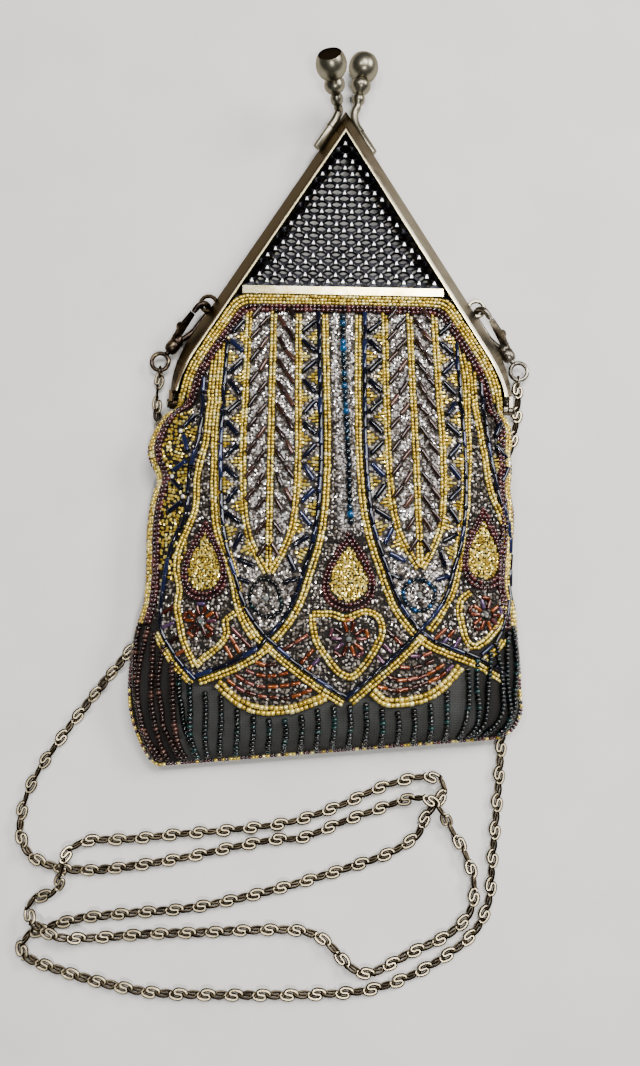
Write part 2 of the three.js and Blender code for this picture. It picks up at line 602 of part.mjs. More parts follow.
function buildClips() {
  for (const row of CLIPS) {
    const { along, across, through, origin } = clipPlace(row);
    const clip = new THREE.Group();
    clip.position.copy(origin);
    clip.quaternion.setFromRotationMatrix(new THREE.Matrix4().makeBasis(along, across, through));
    addMesh(`${row.side}_clip_hook`, hookBody(), 'brass', clip);
    addMesh(`${row.side}_clip_lever`, lever(), 'brass', clip);
    bag.add(clip);
    const swivel = new THREE.Group();
    swivel.position.copy(origin);
    const flat = new THREE.Vector3(0, 0, 1).cross(along).normalize();
    const upward = along.clone().cross(flat);
    swivel.quaternion.setFromRotationMatrix(new THREE.Matrix4().makeBasis(along, flat, upward));
    addMesh(`${row.side}_clip_eye`, swivelEye(), 'brass', swivel);
    bag.add(swivel);
  }
}

function routePoints() {
  const low = FLOOR_CLEARANCE + CHAIN_DIAMETER / 2;
  return ROUTE.map(({ x, y, over = 0 }) => new THREE.Vector3(x, y, low + over * CHAIN_LIFT));
}

// A route with one step to each of its points, which lie closer together in the bends.
class StepByPoint extends THREE.CatmullRomCurve3 {
  getPointAt(u, target) {
    return this.getPoint(u, target);
  }

  getTangentAt(u, target) {
    return this.getTangent(u, target);
  }
}

function buildChain() {
  const points = routePoints();
  const meeting = points[ROUTE_MEETING];
  const onward = points[ROUTE_MEETING + 1].clone().sub(meeting).normalize();
  const halves = {
    chain_left: [...points.slice(0, ROUTE_MEETING), meeting.clone().addScaledVector(onward, -GAP / 2)],
    chain_right: [meeting.clone().addScaledVector(onward, GAP / 2), ...points.slice(ROUTE_MEETING + 1)],
  };
  const ring = [...Array(CHAIN_SIDES).keys()].map((k) => {
    const angle = ((k + 0.5) * 2 * Math.PI) / CHAIN_SIDES;
    return new THREE.Vector2(Math.cos(angle), Math.sin(angle)).multiplyScalar(CHAIN_DIAMETER / 2);
  });
  for (const [name, half] of Object.entries(halves)) {
    const path = new StepByPoint(half);
    const settings = { steps: half.length - 1, extrudePath: path };
    addMesh(name, cornersOnly(new THREE.ExtrudeGeometry(new THREE.Shape(ring), settings)), 'chain');
  }
}

// Height that the cloth keeps over the stretches of chain tucked beneath it.
const hiddenRoute = new THREE.CatmullRomCurve3(routePoints()).getSpacedPoints(700).filter(
  (p) => p.y > HIDDEN.yLow && p.y < HIDDEN.yHigh && p.x > HIDDEN.xLeft,
);

function drapeHeight(x, y) {
  const nearest = Math.min(...hiddenRoute.map((p) => Math.hypot(p.x - x, p.y - y)));
  const share = 1 - (nearest / DRAPE_REACH) ** 2;
  return share > 0 ? (CHAIN_DIAMETER + 2 * GAP + FLOOR_CLEARANCE) * Math.sqrt(share) : 0;
}

function foldDepth(x, y) {
  return FOLDS.reduce((sum, fold) => {
    const angle = THREE.MathUtils.degToRad(fold.degrees);
    const [dx, dy] = [x - fold.x, y - fold.y];
    const along = (dx * Math.cos(angle) + dy * Math.sin(angle)) / fold.length;
    const across = (dy * Math.cos(angle) - dx * Math.sin(angle)) / fold.width;
    return sum + fold.depth * Math.exp(-along * along - across * across);
  }, 0);
}

function pouchRows() {
  const inset = (RIM_WIDTH + GAP + 0.05) / Math.cos(ARM_LEAN);
  const open = ARM_ROWS.map((row) => {
    const x = rimX(Math.max(row.y, ARM.at(-1).y)) - inset;
    return { ...row, leftX: -x, rightX: x, leftY: row.y, rightY: row.y };
  });
  const slit = { ...SLIT_ROW, leftX: -SLIT_ROW.x, rightX: SLIT_ROW.x, leftY: SLIT_ROW.y, rightY: SLIT_ROW.y };
  return [...SECTIONS, slit, ...open];
}

const ROWS = pouchRows();
const SLIT_INDEX = SECTIONS.length;

function rowAt(t) {
  const low = Math.min(Math.floor(t), ROWS.length - 2);
  const blend = (key) => THREE.MathUtils.lerp(ROWS[low][key], ROWS[low + 1][key], t - low);
  const keys = ['leftX', 'leftY', 'rightX', 'rightY', 'front', 'back', 'crown'];
  return Object.fromEntries(keys.map((key) => [key, blend(key)]));
}

// Rise of the back towards a seam: a quarter of an ellipse, 1 at the seam and 0 where it lies flat.
function heelRise(share) {
  return 1 - Math.sqrt(1 - (1 - Math.min(share, 1)) ** 2);
}

// One point of the pouch. s runs from the left seam (-1) to the right (1), t counts the sections upwards.
function pouchPoint(s, t, isFront, isInner) {
  const bottom = isInner ? 0.55 : 0;
  const lifted = bottom + (t * (ROWS.length - 1 - bottom)) / (ROWS.length - 1);
  const row = rowAt(lifted);
  const isOpen = t > SLIT_INDEX;
  const edge = isInner ? SEAM_INSET / ((row.rightX - row.leftX) / 2) : 0;
  const share = (1 + s * (1 - edge)) / 2;
  const x = THREE.MathUtils.lerp(row.leftX, row.rightX, share);
  const y = THREE.MathUtils.lerp(row.leftY, row.rightY, share);
  const wall = isInner ? WALL : 0;
  if (isFront) {
    const swell = (1 - Math.abs(s) ** SWELL.power) ** SWELL.roundness;
    const edgeZ = isOpen ? row.front - wall : row.front;
    const crown = t === 0 ? edgeZ : row.crown - wall;
    const calm = (1 - s ** 6) * Math.min(1, t / 3);
    return new THREE.Vector3(x, y, edgeZ + (crown - edgeZ) * swell - foldDepth(x, y) * calm);
  }
  const fromSide = ((1 - Math.abs(s)) * (row.rightX - row.leftX) * (1 - edge)) / 2;
  const first = rowAt(bottom);
  const fromBottom = y - THREE.MathUtils.lerp(first.leftY, first.rightY, share);
  const edgeZ = isOpen ? row.back + wall : row.back;
  const rise = Math.max(heelRise(fromSide / OVERHANG), heelRise(fromBottom / HEEL));
  const resting = wall + (edgeZ - wall) * rise;
  const isSeam = t === 0 || (Math.abs(s) === 1 && !isOpen);
  return new THREE.Vector3(x, y, isSeam ? resting : Math.max(resting, drapeHeight(x, y) + wall));
}

// The pouch: an outer and an inner wall for the front and the back, joined at the side and bottom
// seams, open along the top and, above the hinges, at both sides.
function buildPouch() {
  const positions = [];
  const numbers = new Map();
  const spread = [...Array(COLUMNS + 1).keys()].map((k) => Math.sin((k / COLUMNS - 0.5) * Math.PI));
  spread[0] = -1;
  spread[COLUMNS] = 1;
  const corner = (k, t, isFront, isInner) => {
    const onSeam = t === 0 || (t <= SLIT_INDEX && (k === 0 || k === COLUMNS));
    const key = [k, t, onSeam || isFront, isInner].join();
    if (!numbers.has(key)) {
      const p = pouchPoint(spread[k], t, onSeam || isFront, isInner);
      numbers.set(key, positions.length / 3);
      positions.push(p.x, p.y, p.z);
    }
    return numbers.get(key);
  };
  const index = [];
  const quad = (a, b, c, d) => index.push(a, b, c, a, c, d);
  const top = ROWS.length - 1;
  for (const isFront of [true, false]) {
    for (const isInner of [true, false]) {
      for (let t = 0; t < top; t++) {
        for (let k = 0; k < COLUMNS; k++) {
          const loop = [[k, t], [k + 1, t], [k + 1, t + 1], [k, t + 1]];
          if (isFront === isInner) loop.reverse();
          quad(...loop.map(([column, row]) => corner(column, row, isFront, isInner)));
        }
      }
    }
    const hem = (from, to) => {
      const loop = [[...from, true], [...to, true], [...to, false], [...from, false]];
      if (!isFront) loop.reverse();
      quad(...loop.map(([column, row, isInner]) => corner(column, row, isFront, isInner)));
    };
    for (let k = 0; k < COLUMNS; k++) hem([k + 1, top], [k, top]);
    for (let t = SLIT_INDEX; t < top; t++) {
      hem([0, t + 1], [0, t]);
      hem([COLUMNS, t], [COLUMNS, t + 1]);
    }
  }
  addMesh('pouch', facesOut(indexedGeometry(positions, index)), 'cloth');
}

buildPouch();
buildFrames();
buildPanels();
buildKnobs();
buildClips();
buildChain();

export default bag;
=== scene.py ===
"""A beaded evening bag on a triangular clasp frame, lying on its back with its chain laid beside it.

Sizes are millimetres in the bag's own frame, turned to metres where a mesh is made. Plan points are (x, y):
x to the bag's right, y up to the clasp, and the height comes from the pouch's front.
"""

import bmesh
import bpy
import numpy as np
from mathutils import Matrix


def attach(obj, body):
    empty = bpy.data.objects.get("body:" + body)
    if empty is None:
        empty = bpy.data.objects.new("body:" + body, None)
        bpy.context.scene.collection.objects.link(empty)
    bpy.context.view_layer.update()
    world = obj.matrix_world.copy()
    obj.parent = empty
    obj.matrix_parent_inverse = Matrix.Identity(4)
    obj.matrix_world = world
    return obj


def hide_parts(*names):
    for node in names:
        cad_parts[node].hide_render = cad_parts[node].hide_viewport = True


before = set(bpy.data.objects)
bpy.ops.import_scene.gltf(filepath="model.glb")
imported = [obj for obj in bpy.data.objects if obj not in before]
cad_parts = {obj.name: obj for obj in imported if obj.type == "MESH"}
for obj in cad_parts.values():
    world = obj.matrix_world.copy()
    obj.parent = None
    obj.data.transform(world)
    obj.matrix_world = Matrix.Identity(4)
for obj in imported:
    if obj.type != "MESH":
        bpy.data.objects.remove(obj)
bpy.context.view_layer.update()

MM = 0.001
UP = np.array([0.0, 0.0, 1.0])
chance = np.random.default_rng(11)
# The frame: its depth, the height of its rim's peak, what the rim's half width gains for each mm down from
# there, and how far its walls lean out over half the depth
FRAME_DEPTH, RIM_PEAK, RIM_SLOPE, WALL_OUT = 16, 185, 60.4 / 99.5, 6


# Camera and light

IMAGE_SIZE = (640, 1066)
FOCAL_PIXELS = 950
SENSOR = 36.0
CAMERA_PLACE = (-6.1, -48.0, 385.2)
CAMERA_FORWARD = np.array([-0.0033, 0.1564, -0.9877])
CAMERA_RIGHT = np.array([0.9998, 0.0209, 0.0])


def linear(hex_colour):
    """An sRGB hex value as a linear colour with alpha."""
    srgb = np.array([int(hex_colour[k:k + 2], 16) / 255 for k in (1, 3, 5)])
    rgb = np.where(srgb <= 0.04045, srgb / 12.92, ((srgb + 0.055) / 1.055) ** 2.4)
    return (*rgb.tolist(), 1.0)


def set_camera():
    """A camera in its place, turned so that it looks along its forward direction."""
    camera = bpy.data.objects.new("camera", bpy.data.cameras.new("camera"))
    camera.data.sensor_width = SENSOR
    camera.data.lens = SENSOR * FOCAL_PIXELS / max(IMAGE_SIZE)
    camera.data.clip_start = 0.01
    up = np.cross(CAMERA_RIGHT, CAMERA_FORWARD)
    turn = np.stack([CAMERA_RIGHT, up, -CAMERA_FORWARD], axis=1)
    camera.matrix_world = Matrix.Translation(np.array(CAMERA_PLACE) * MM) @ Matrix(turn.tolist()).to_4x4()
    bpy.context.collection.objects.link(camera)
    bpy.context.scene.camera = camera


# Soft lamps: place, aim, width and height in metres, watts
LAMPS = {
    "overhead_softbox": ((0.25, 0.45, 1.1), (0, 0, 0), 0.5, 0.45, 14),
    "right_window": ((0.9, 0.5, 0.75), (0, 0.03, 0), 0.35, 0.6, 14),
    "sparkle_lamp": ((0.12, -0.42, 0.95), (0, 0, 0), 0.07, 0.07, 5),
    "second_sparkle_lamp": ((-0.28, 0.25, 1.0), (0, 0, 0), 0.06, 0.06, 3),
}
SKY_COLOUR, SKY_STRENGTH = "#C8CCD0", 0.17


def set_lights():
    """Lamps that face their aims, and an even grey sky."""
    for name, (place, aim, width, height, watts) in LAMPS.items():
        lamp = bpy.data.lights.new(name, "AREA")
        lamp.shape = "RECTANGLE"
        lamp.size, lamp.size_y, lamp.energy = width, height, watts
        holder = bpy.data.objects.new(name, lamp)
        back = unit(np.array(place) - np.array(aim))
        side = unit(np.cross([0, 1, 0.01], back))
        turn = np.stack([side, np.cross(back, side), back], axis=1)
        holder.matrix_world = Matrix.Translation(place) @ Matrix(turn.tolist()).to_4x4()
        bpy.context.collection.objects.link(holder)
    world = bpy.data.worlds.new("studio")
    world.use_nodes = True
    background = world.node_tree.nodes["Background"]
    background.inputs["Color"].default_value = linear(SKY_COLOUR)
    background.inputs["Strength"].default_value = SKY_STRENGTH
    bpy.context.scene.world = world


# Meshes from arrays

def mesh_piece(name, points, face_sets, material, smooth=False, tint=None):
    """An object from points in mm and arrays of faces, one array to each count of corners; tint is a value
    that its material reads at each point."""
    mesh = bpy.data.meshes.new(name)
    corners = np.concatenate([faces.ravel() for faces in face_sets]).astype(np.int32)
    counts = np.concatenate([np.full(len(faces), faces.shape[1]) for faces in face_sets])
    mesh.vertices.add(len(points))
    mesh.vertices.foreach_set("co", (np.asarray(points) * MM).astype(np.float32).ravel())
    mesh.loops.add(len(corners))
    mesh.loops.foreach_set("vertex_index", corners)
    mesh.polygons.add(len(counts))
    starts = np.concatenate([[0], np.cumsum(counts)[:-1]])
    mesh.polygons.foreach_set("loop_start", starts.astype(np.int32))
    mesh.polygons.foreach_set("use_smooth", np.full(len(counts), smooth))
    if tint is not None:
        layer = mesh.attributes.new("tint", "FLOAT", "POINT")
        layer.data.foreach_set("value", np.asarray(tint, np.float32))
    mesh.update(calc_edges=True)
    mesh.validate()
    mesh.materials.append(material)
    piece = bpy.data.objects.new(name, mesh)
    bpy.context.collection.objects.link(piece)
    return piece


def tidy_mesh(piece):
    """Merges doubles, drops shrunken faces and points the rest outwards."""
    shape = bmesh.new()
    shape.from_mesh(piece.data)
    bmesh.ops.remove_doubles(shape, verts=shape.verts, dist=0.004 * MM)
    bmesh.ops.dissolve_degenerate(shape, edges=shape.edges, dist=0.003 * MM)
    bmesh.ops.recalc_face_normals(shape, faces=shape.faces)
    shape.to_mesh(piece.data)
    shape.free()


def grid_faces(rows, columns, closed=False, looped=False):
    """Quads of a grid of rows by columns; closed joins its last column to its first, looped its last row."""
    row, column = np.meshgrid(np.arange(rows if looped else rows - 1),
                              np.arange(columns if closed else columns - 1), indexing="ij")
    row_after, column_after = (row + 1) % rows * columns, (column + 1) % columns
    row = row * columns
    corners = row + column, row + column_after, row_after + column_after, row_after + column
    return np.stack([corner.ravel() for corner in corners], axis=1)


def unit(vectors):
    """Vectors scaled to a length of one."""
    return vectors / np.maximum(np.linalg.norm(vectors, axis=-1, keepdims=True), 1e-9)


def distances(path):
    """How far each of a path's points is from its start, along the path."""
    return np.concatenate([[0], np.cumsum(np.linalg.norm(np.diff(path, axis=0), axis=1))])


def even_steps(run, pitch):
    """Distances of the middles of equal steps over a path's whole length, each step about one pitch."""
    count = max(int(run[-1] / pitch), 1)
    return (np.arange(count) + 0.5) * run[-1] / count


def points_at(at, run, rows):
    """Rows of a path's table read at distances along it, between its own rows."""
    return np.stack([np.interp(at, run, column) for column in rows.T], axis=1)


def smooth_path(points, steps=10):
    """A curve through points: each stretch is the cubic that leaves and meets its ends along the chords of
    their neighbours."""
    p = np.asarray(points, float)
    ghost = np.vstack([2 * p[0] - p[1], p, 2 * p[-1] - p[-2]])
    t = np.linspace(0, 1, steps, endpoint=False)[:, None, None]
    a, b, c, d = ghost[:-3], ghost[1:-2], ghost[2:-1], ghost[3:]
    bend, twist = 2 * a - 5 * b + 4 * c - d, 3 * b - a - 3 * c + d
    cubic = 2 * b + (c - a) * t + bend * t ** 2 + twist * t ** 3
    return np.vstack([cubic.transpose(1, 0, 2).reshape(-1, p.shape[1]) / 2, p[-1]])


def ringed(rings):
    """A closed form from rings of points: quads from each ring to the next, and a flat face on both ends."""
    count, sides = rings.shape[:2]
    around = np.arange(sides)
    caps = np.stack([around[::-1], (count - 1) * sides + around])
    return rings.reshape(-1, 3), [grid_faces(count, sides, closed=True), caps]


def turned(profile, sides):
    """A form turned about X: a ring for each (place, radius) of its profile."""
    place, radius = np.array(profile, float).T
    angle = 2 * np.pi * (np.arange(sides) + 0.5) / sides
    ring = np.stack([np.zeros(sides), np.cos(angle), np.sin(angle)], axis=1)
    return ringed(place[:, None, None] * np.array([1.0, 0, 0]) + radius[:, None, None] * ring)


def tube(path, radius, flat_normal, sides):
    """A round wire along a path in one plane: rings spanned by the plane's normal and the path's own."""
    along = unit(np.gradient(path, axis=0))
    outward = unit(np.cross(along, flat_normal))
    angle = 2 * np.pi * np.arange(sides)[:, None] / sides
    ring = np.cos(angle) * outward[:, None] + np.sin(angle) * np.cross(outward, along)[:, None]
    return ringed(path[:, None] + np.broadcast_to(radius, len(path))[:, None, None] * ring)


def copies(form, origin, x_axis, y_axis, z_axis):
    """Copies of one form, each in its own place and axes: place + x * x_axis + y * y_axis + z * z_axis."""
    points, face_sets = form
    placed = (origin[:, None] + points[None, :, 0, None] * x_axis[:, None]
              + points[None, :, 1, None] * y_axis[:, None] + points[None, :, 2, None] * z_axis[:, None])
    shift = (np.arange(len(origin)) * len(points))[:, None, None]
    return placed.reshape(-1, 3), [(faces[None] + shift).reshape(-1, faces.shape[1]) for faces in face_sets]


def set_down(form, origin, *axes):
    """One copy of a form, in its place and axes."""
    return copies(form, np.array([origin]), *(np.array([axis]) for axis in axes))


def joined(*forms):
    """Several forms as one."""
    shift, points, by_count = 0, [], {}
    for form_points, face_sets in forms:
        for faces in face_sets:
            by_count.setdefault(faces.shape[1], []).append(faces + shift)
        points.append(form_points)
        shift += len(form_points)
    return np.vstack(points), [np.vstack(sets) for sets in by_count.values()]


# Materials

def plug(tree, node, sockets):
    """Gives a node its inputs by number or name: an output of another node is linked, a constant is set."""
    for socket, source in dict(sockets).items():
        if isinstance(source, bpy.types.NodeSocket):
            tree.links.new(source, node.inputs[socket])
        else:
            node.inputs[socket].default_value = source


def add_node(tree, kind, sockets=(), stops=(), **settings):
    """Adds a node. Settings are its properties and its constant inputs by name, and stops the places and hex
    colours of a ramp."""
    node = tree.nodes.new(kind)
    for name, value in settings.items():
        if hasattr(node, name):
            setattr(node, name, value)
        else:
            node.inputs[name.replace("_", " ")].default_value = value
    plug(tree, node, sockets)
    elements = node.color_ramp.elements if stops else ()
    while len(elements) < len(stops):
        elements.new(0.5)
    for element, (place, hex_colour) in zip(elements, stops):
        element.position = place
        element.color = linear(hex_colour)
    return node


def new_material(name, **settings):
    """A material, its nodes and its shader; settings are the shader's constant inputs."""
    material = bpy.data.materials.new(name)
    material.use_nodes = True
    shader = material.node_tree.nodes["Principled BSDF"]
    plug(material.node_tree, shader, {socket.replace("_", " "): value for socket, value in settings.items()})
    return material, material.node_tree, shader


def tinted_material(name, colours, **settings):
    """A material whose colour is picked by the mesh's tint, from the first colour at 0 to the last at 1."""
    material, tree, shader = new_material(name, **settings)
    tint = add_node(tree, "ShaderNodeAttribute", attribute_name="tint")
    stops = [(k / (len(colours) - 1), colour) for k, colour in enumerate(colours)]
    ramp = add_node(tree, "ShaderNodeValToRGB", {"Fac": tint.outputs["Fac"]}, stops)
    plug(tree, shader, {"Base Color": ramp.outputs["Color"]})
    return material


# Glass beads: the colours among a lot's beads, metal lining, roughness, gloss
GLASS = {
    # gold lining behind clear glass: warm, bright, a little uneven from bead to bead
    "silver_lined_gold_glass": (["#A08224", "#D6B540", "#EBD05C", "#FDEFA0"], 0.6, 0.22, 0.42),
    # dark opaque red glass, tumbled round: a black-red body and one hard highlight
    "oxblood_glass": (["#1A0708", "#2E0D0E", "#3A1414", "#562624"], 0.1, 0.14, 0.6),
    # black tube glass with a lustre coat: blue sheen along one line
    "blue_black_bugle_glass": (["#04050E", "#0A0D20", "#05060D", "#1A2346"], 0.35, 0.13, 0.4),
    # dark brown tube glass with a copper lining
    "brown_bugle_glass": (["#140908", "#2A1712", "#1C0F0C", "#54362C"], 0.4, 0.18, 0.4),
    # amber tube glass with a rainbow coat: rust, with a few pink and lilac pieces
    "rust_lustre_glass": (["#220905", "#4C1A07", "#6E2E0C", "#924C1C", "#5E343E", "#5C486E"], 0.5, 0.17, 0.5),
    # clear glass with a mirror lining: grey until it faces a lamp, then white
    "silver_lined_clear_glass": (["#4A423C", "#A2978F", "#E4DCD6", "#FFFFFF"], 0.55, 0.13, 0.7),
    # dark blue-green glass with a metallic coat
    "peacock_glass": (["#02060C", "#03121C", "#052A3E", "#0A5488"], 0.3, 0.12, 0.5),
    # near-black glass with a brown coat, and some bottle-green pieces
    "hematite_glass": (["#010202", "#030708", "#030404", "#070404", "#020307", "#03100F", "#0A2C2A"],
                       0.0, 0.06, 0.4),
    # smoky glass with a dull lining, sewn over the dark ground
    "smoke_glass": (["#1C1814", "#4A423A", "#80766C", "#CFC4B8"], 0.45, 0.16, 0.55),
}


def glass_material(name):
    """Bead glass: each bead's own tint picks its colour, under a clear gloss."""
    colours, metallic, roughness, gloss = GLASS[name]
    return tinted_material(name, colours, Metallic=metallic, Roughness=roughness, Coat_Weight=gloss,
                           Specular_IOR_Level=gloss)


def crystal_material():
    """Cut glass stone with a foil back: clear facets that flash white."""
    return tinted_material("cut_crystal", ["#5A6468", "#B4BCBA", "#F4F0DC"], Metallic=0.75, Roughness=0.06,
                           Coat_Weight=1.0)


# Ground cloth by its tint: bare ground, the skirt's plain fabric, and the ground under clear beads
CLOTH_SHADES = [(0.0, "#1C1A18"), (0.15, "#201E1C"), (0.5, "#2C2B2A"), (0.62, "#3E3E3D"), (0.9, "#38332E"),
                (1.0, "#4A443E")]
# Its threads are coarser than the real ones, so that they show: with this pitch and divisor the wave node
# repeats about each millimetre
THREAD_PITCH, WAVE_DIVISOR, BLOTCH_SIZE = 0.5, 6.28, 7


def cloth_material():
    """Woven silk ground of the pouch, charcoal to grey: two waves for warp and weft, and soft blotches."""
    material, tree, shader = new_material("silk_ground", Roughness=0.7, Specular_IOR_Level=0.12)
    place = add_node(tree, "ShaderNodeTexCoord").outputs["Object"]
    waves = 1 / (THREAD_PITCH * MM) / WAVE_DIVISOR
    weft, warp = (add_node(tree, "ShaderNodeTexWave", {"Vector": place}, bands_direction=way, Scale=waves)
                  for way in "YX")
    crossed = {0: weft.outputs["Fac"], 1: warp.outputs["Fac"]}
    weave = add_node(tree, "ShaderNodeMath", crossed, operation="MULTIPLY")
    blotch = add_node(tree, "ShaderNodeTexNoise", {"Vector": place}, Scale=1 / (BLOTCH_SIZE * MM), Detail=4.0)
    region = add_node(tree, "ShaderNodeAttribute", attribute_name="tint")
    wear = add_node(tree, "ShaderNodeMapRange", {"Value": blotch.outputs["Fac"]}, To_Min=-0.08, To_Max=0.1)
    shade = add_node(tree, "ShaderNodeMath", {0: region.outputs["Fac"], 1: wear.outputs[0]}, operation="ADD")
    ramp = add_node(tree, "ShaderNodeValToRGB", {"Fac": shade.outputs[0]}, CLOTH_SHADES)
    bump = add_node(tree, "ShaderNodeBump", {"Height": weave.outputs[0]}, Strength=0.4, Distance=0.15 * MM)
    plug(tree, shader, {"Base Color": ramp.outputs["Color"], "Normal": bump.outputs["Normal"]})
    return material


# Metals: colours from recess to worn edge (on the frame, the chain and the studs also from painted shade to
# painted highlight), roughness, and what picks the colour
METALS = {
    # half frames: browned walls, a painted light that lightens them to the right, and the rim's inner edge
    # rubbed bright with a painted highlight
    "browned_brass_painted_light": (["#33291C", "#8C8576", "#EADBA8"], 0.28, "rim"),
    # knobs and stems: greyed satin brass with brown recesses
    "satin_brass": (["#1A1413", "#5A5444", "#A09A88"], 0.3, "tint"),
    # the bar's bright strip, pale gold with fine rub marks
    "polished_brass": (["#C8AE6C", "#EBDCA8", "#FBF4DC"], 0.2, "cloud"),
    # left clip and its lever: brown-black plating worn to brass in patches
    "dark_antique_brass": (["#14100E", "#3A302A", "#8E7A5C"], 0.3, "cloud"),
    # right clip, its lever and the hinge pins: the same plating rubbed back to brass
    "rubbed_brass": (["#221D1C", "#6E675C", "#CFC8BA"], 0.3, "cloud"),
    # chain: dark oxidised sides, deepened with painted shade, and faces of the flat wire worn bright with a
    # painted highlight
    "scroll_chain_brass": (["#070504", "#2A221C", "#EAD8B2"], 0.42, "tint"),
    # pierced panels: blackened sheet, and bright studs, worn and given a painted highlight
    "gunmetal": (["#0B0B0E", "#5A5A60", "#F2F0EE"], 0.34, "tint"),
}
# Brown at a grazing view, where clean metal would turn white
TARNISHED_EDGE = (0.6, 0.56, 0.5, 1.0)
# Brightness over the frame's depth, for the rubbing and its painted highlight: the two rims, and the walls
# between them
RIM_RUB_AND_HIGHLIGHT_LEVELS = [(0.0, "#FFFFFF"), (0.02, "#FFFFFF"), (0.045, "#000000"), (0.955, "#000000"), (0.98, "#FFFFFF")]
# The rim's outer edge in plan: a height, the half width there, and what it loses for each mm up, along the
# arm and near the hinge
ARM_LINE, FOOT_LINE = (RIM_PEAK, 0, RIM_SLOPE), (80, 63.3, 0.34)
# Distances from the rim's outer edge, negative inwards, over which its rubbing and painted highlight fade in
RUBBED_AND_HIGHLIT_WIDTH = (-1.15, -0.75)
# A painted light on the frame: it grows from x = 0 to x = 25 mm, up to this wear value
PAINTED_LIGHT_SIDE = {"from": 0, "to": 25, "wear": 0.4}
PATCH_SIZE, GRAIN_SIZE, PATCH_SHIFT = 6, 0.8, 0.2
# Places of the three colours on a metal's ramp, where its patches pick them and where wear does
PATCH_STOPS, WEAR_STOPS = (0.28, 0.5, 0.72), (0.05, 0.5, 0.95)


def rim_wear_and_painted_light(tree, place):
    """Wear and painted light of the frame: rubbing with a painted highlight, full on the rim's inner edge,
    and a painted light that grows to the right. The distance from the rim's outer edge is |x| less the lower
    of the two edge lines."""
    x, y, z = add_node(tree, "ShaderNodeSeparateXYZ", {"Vector": place}).outputs
    lines = [add_node(tree, "ShaderNodeMath", {0: y, 1: -slope, 2: (edge_x + edge_y * slope) * MM},
                      operation="MULTIPLY_ADD").outputs[0] for edge_y, edge_x, slope in (ARM_LINE, FOOT_LINE)]
    edge = add_node(tree, "ShaderNodeMath", {0: lines[0], 1: lines[1]}, operation="MINIMUM").outputs[0]
    reach = add_node(tree, "ShaderNodeMath", {0: x}, operation="ABSOLUTE").outputs[0]
    outward = add_node(tree, "ShaderNodeMath", {0: reach, 1: edge}, operation="SUBTRACT").outputs[0]
    inner = add_node(tree, "ShaderNodeMapRange", {"Value": outward}, From_Min=RUBBED_AND_HIGHLIT_WIDTH[0] * MM,
                     From_Max=RUBBED_AND_HIGHLIT_WIDTH[1] * MM, To_Min=1.0, To_Max=0.0).outputs[0]
    share = add_node(tree, "ShaderNodeMapRange", {"Value": z}, From_Max=FRAME_DEPTH * MM).outputs[0]
    rim = add_node(tree, "ShaderNodeValToRGB", {"Fac": share}, RIM_RUB_AND_HIGHLIGHT_LEVELS).outputs["Color"]
    # Rubbing and painted highlight: the band inside the outer edge, on the two rims only
    rubbed = add_node(tree, "ShaderNodeMath", {0: inner, 1: rim}, operation="MULTIPLY").outputs[0]
    # Painted light that grows to the right
    right = add_node(tree, "ShaderNodeMapRange", {"Value": x}, From_Min=PAINTED_LIGHT_SIDE["from"] * MM,
                     From_Max=PAINTED_LIGHT_SIDE["to"] * MM, To_Max=PAINTED_LIGHT_SIDE["wear"]).outputs[0]
    return add_node(tree, "ShaderNodeMath", {0: rubbed, 1: right}, operation="MAXIMUM").outputs[0]


def metal_material(name):
    """Tarnished metal: cloudy patches shift the colour, and a finer grain varies the gloss. The colour
    follows the patches alone, a wear value stored on the mesh (on the chain and the studs partly painted
    highlight and shade), or the place on the frame (its wear and painted light)."""
    colours, roughness, source = METALS[name]
    material, tree, shader = new_material(name, Metallic=1.0, Specular_Tint=TARNISHED_EDGE)
    place = add_node(tree, "ShaderNodeTexCoord").outputs["Object"]
    cloud = add_node(tree, "ShaderNodeTexNoise", {"Vector": place}, Scale=1 / (PATCH_SIZE * MM), Detail=5.0,
                     Roughness=0.6)
    wear, places = cloud.outputs["Fac"], PATCH_STOPS
    if source != "cloud":
        if source == "tint":
            level = add_node(tree, "ShaderNodeAttribute", attribute_name="tint").outputs["Fac"]
        else:
            # the frame's wear, with its painted highlight and painted light
            level = rim_wear_and_painted_light(tree, place)
        shift = add_node(tree, "ShaderNodeMapRange", {"Value": wear}, To_Min=-PATCH_SHIFT, To_Max=PATCH_SHIFT)
        wear = add_node(tree, "ShaderNodeMath", {0: level, 1: shift.outputs[0]}, operation="ADD").outputs[0]
        places = WEAR_STOPS
    ramp = add_node(tree, "ShaderNodeValToRGB", {"Fac": wear}, list(zip(places, colours)))
    grain = add_node(tree, "ShaderNodeTexNoise", {"Vector": place}, Scale=1 / (GRAIN_SIZE * MM), Detail=2.0)
    gloss = add_node(tree, "ShaderNodeMapRange", {"Value": grain.outputs["Fac"]}, To_Min=roughness * 0.75,
                     To_Max=roughness * 1.4)
    bump = add_node(tree, "ShaderNodeBump", {"Height": grain.outputs["Fac"]}, Strength=0.12,
                    Distance=0.1 * MM)
    plug(tree, shader, {"Base Color": ramp.outputs["Color"], "Roughness": gloss.outputs[0],
                        "Normal": bump.outputs["Normal"]})
    return material


# The pouch's front as a height over its plan

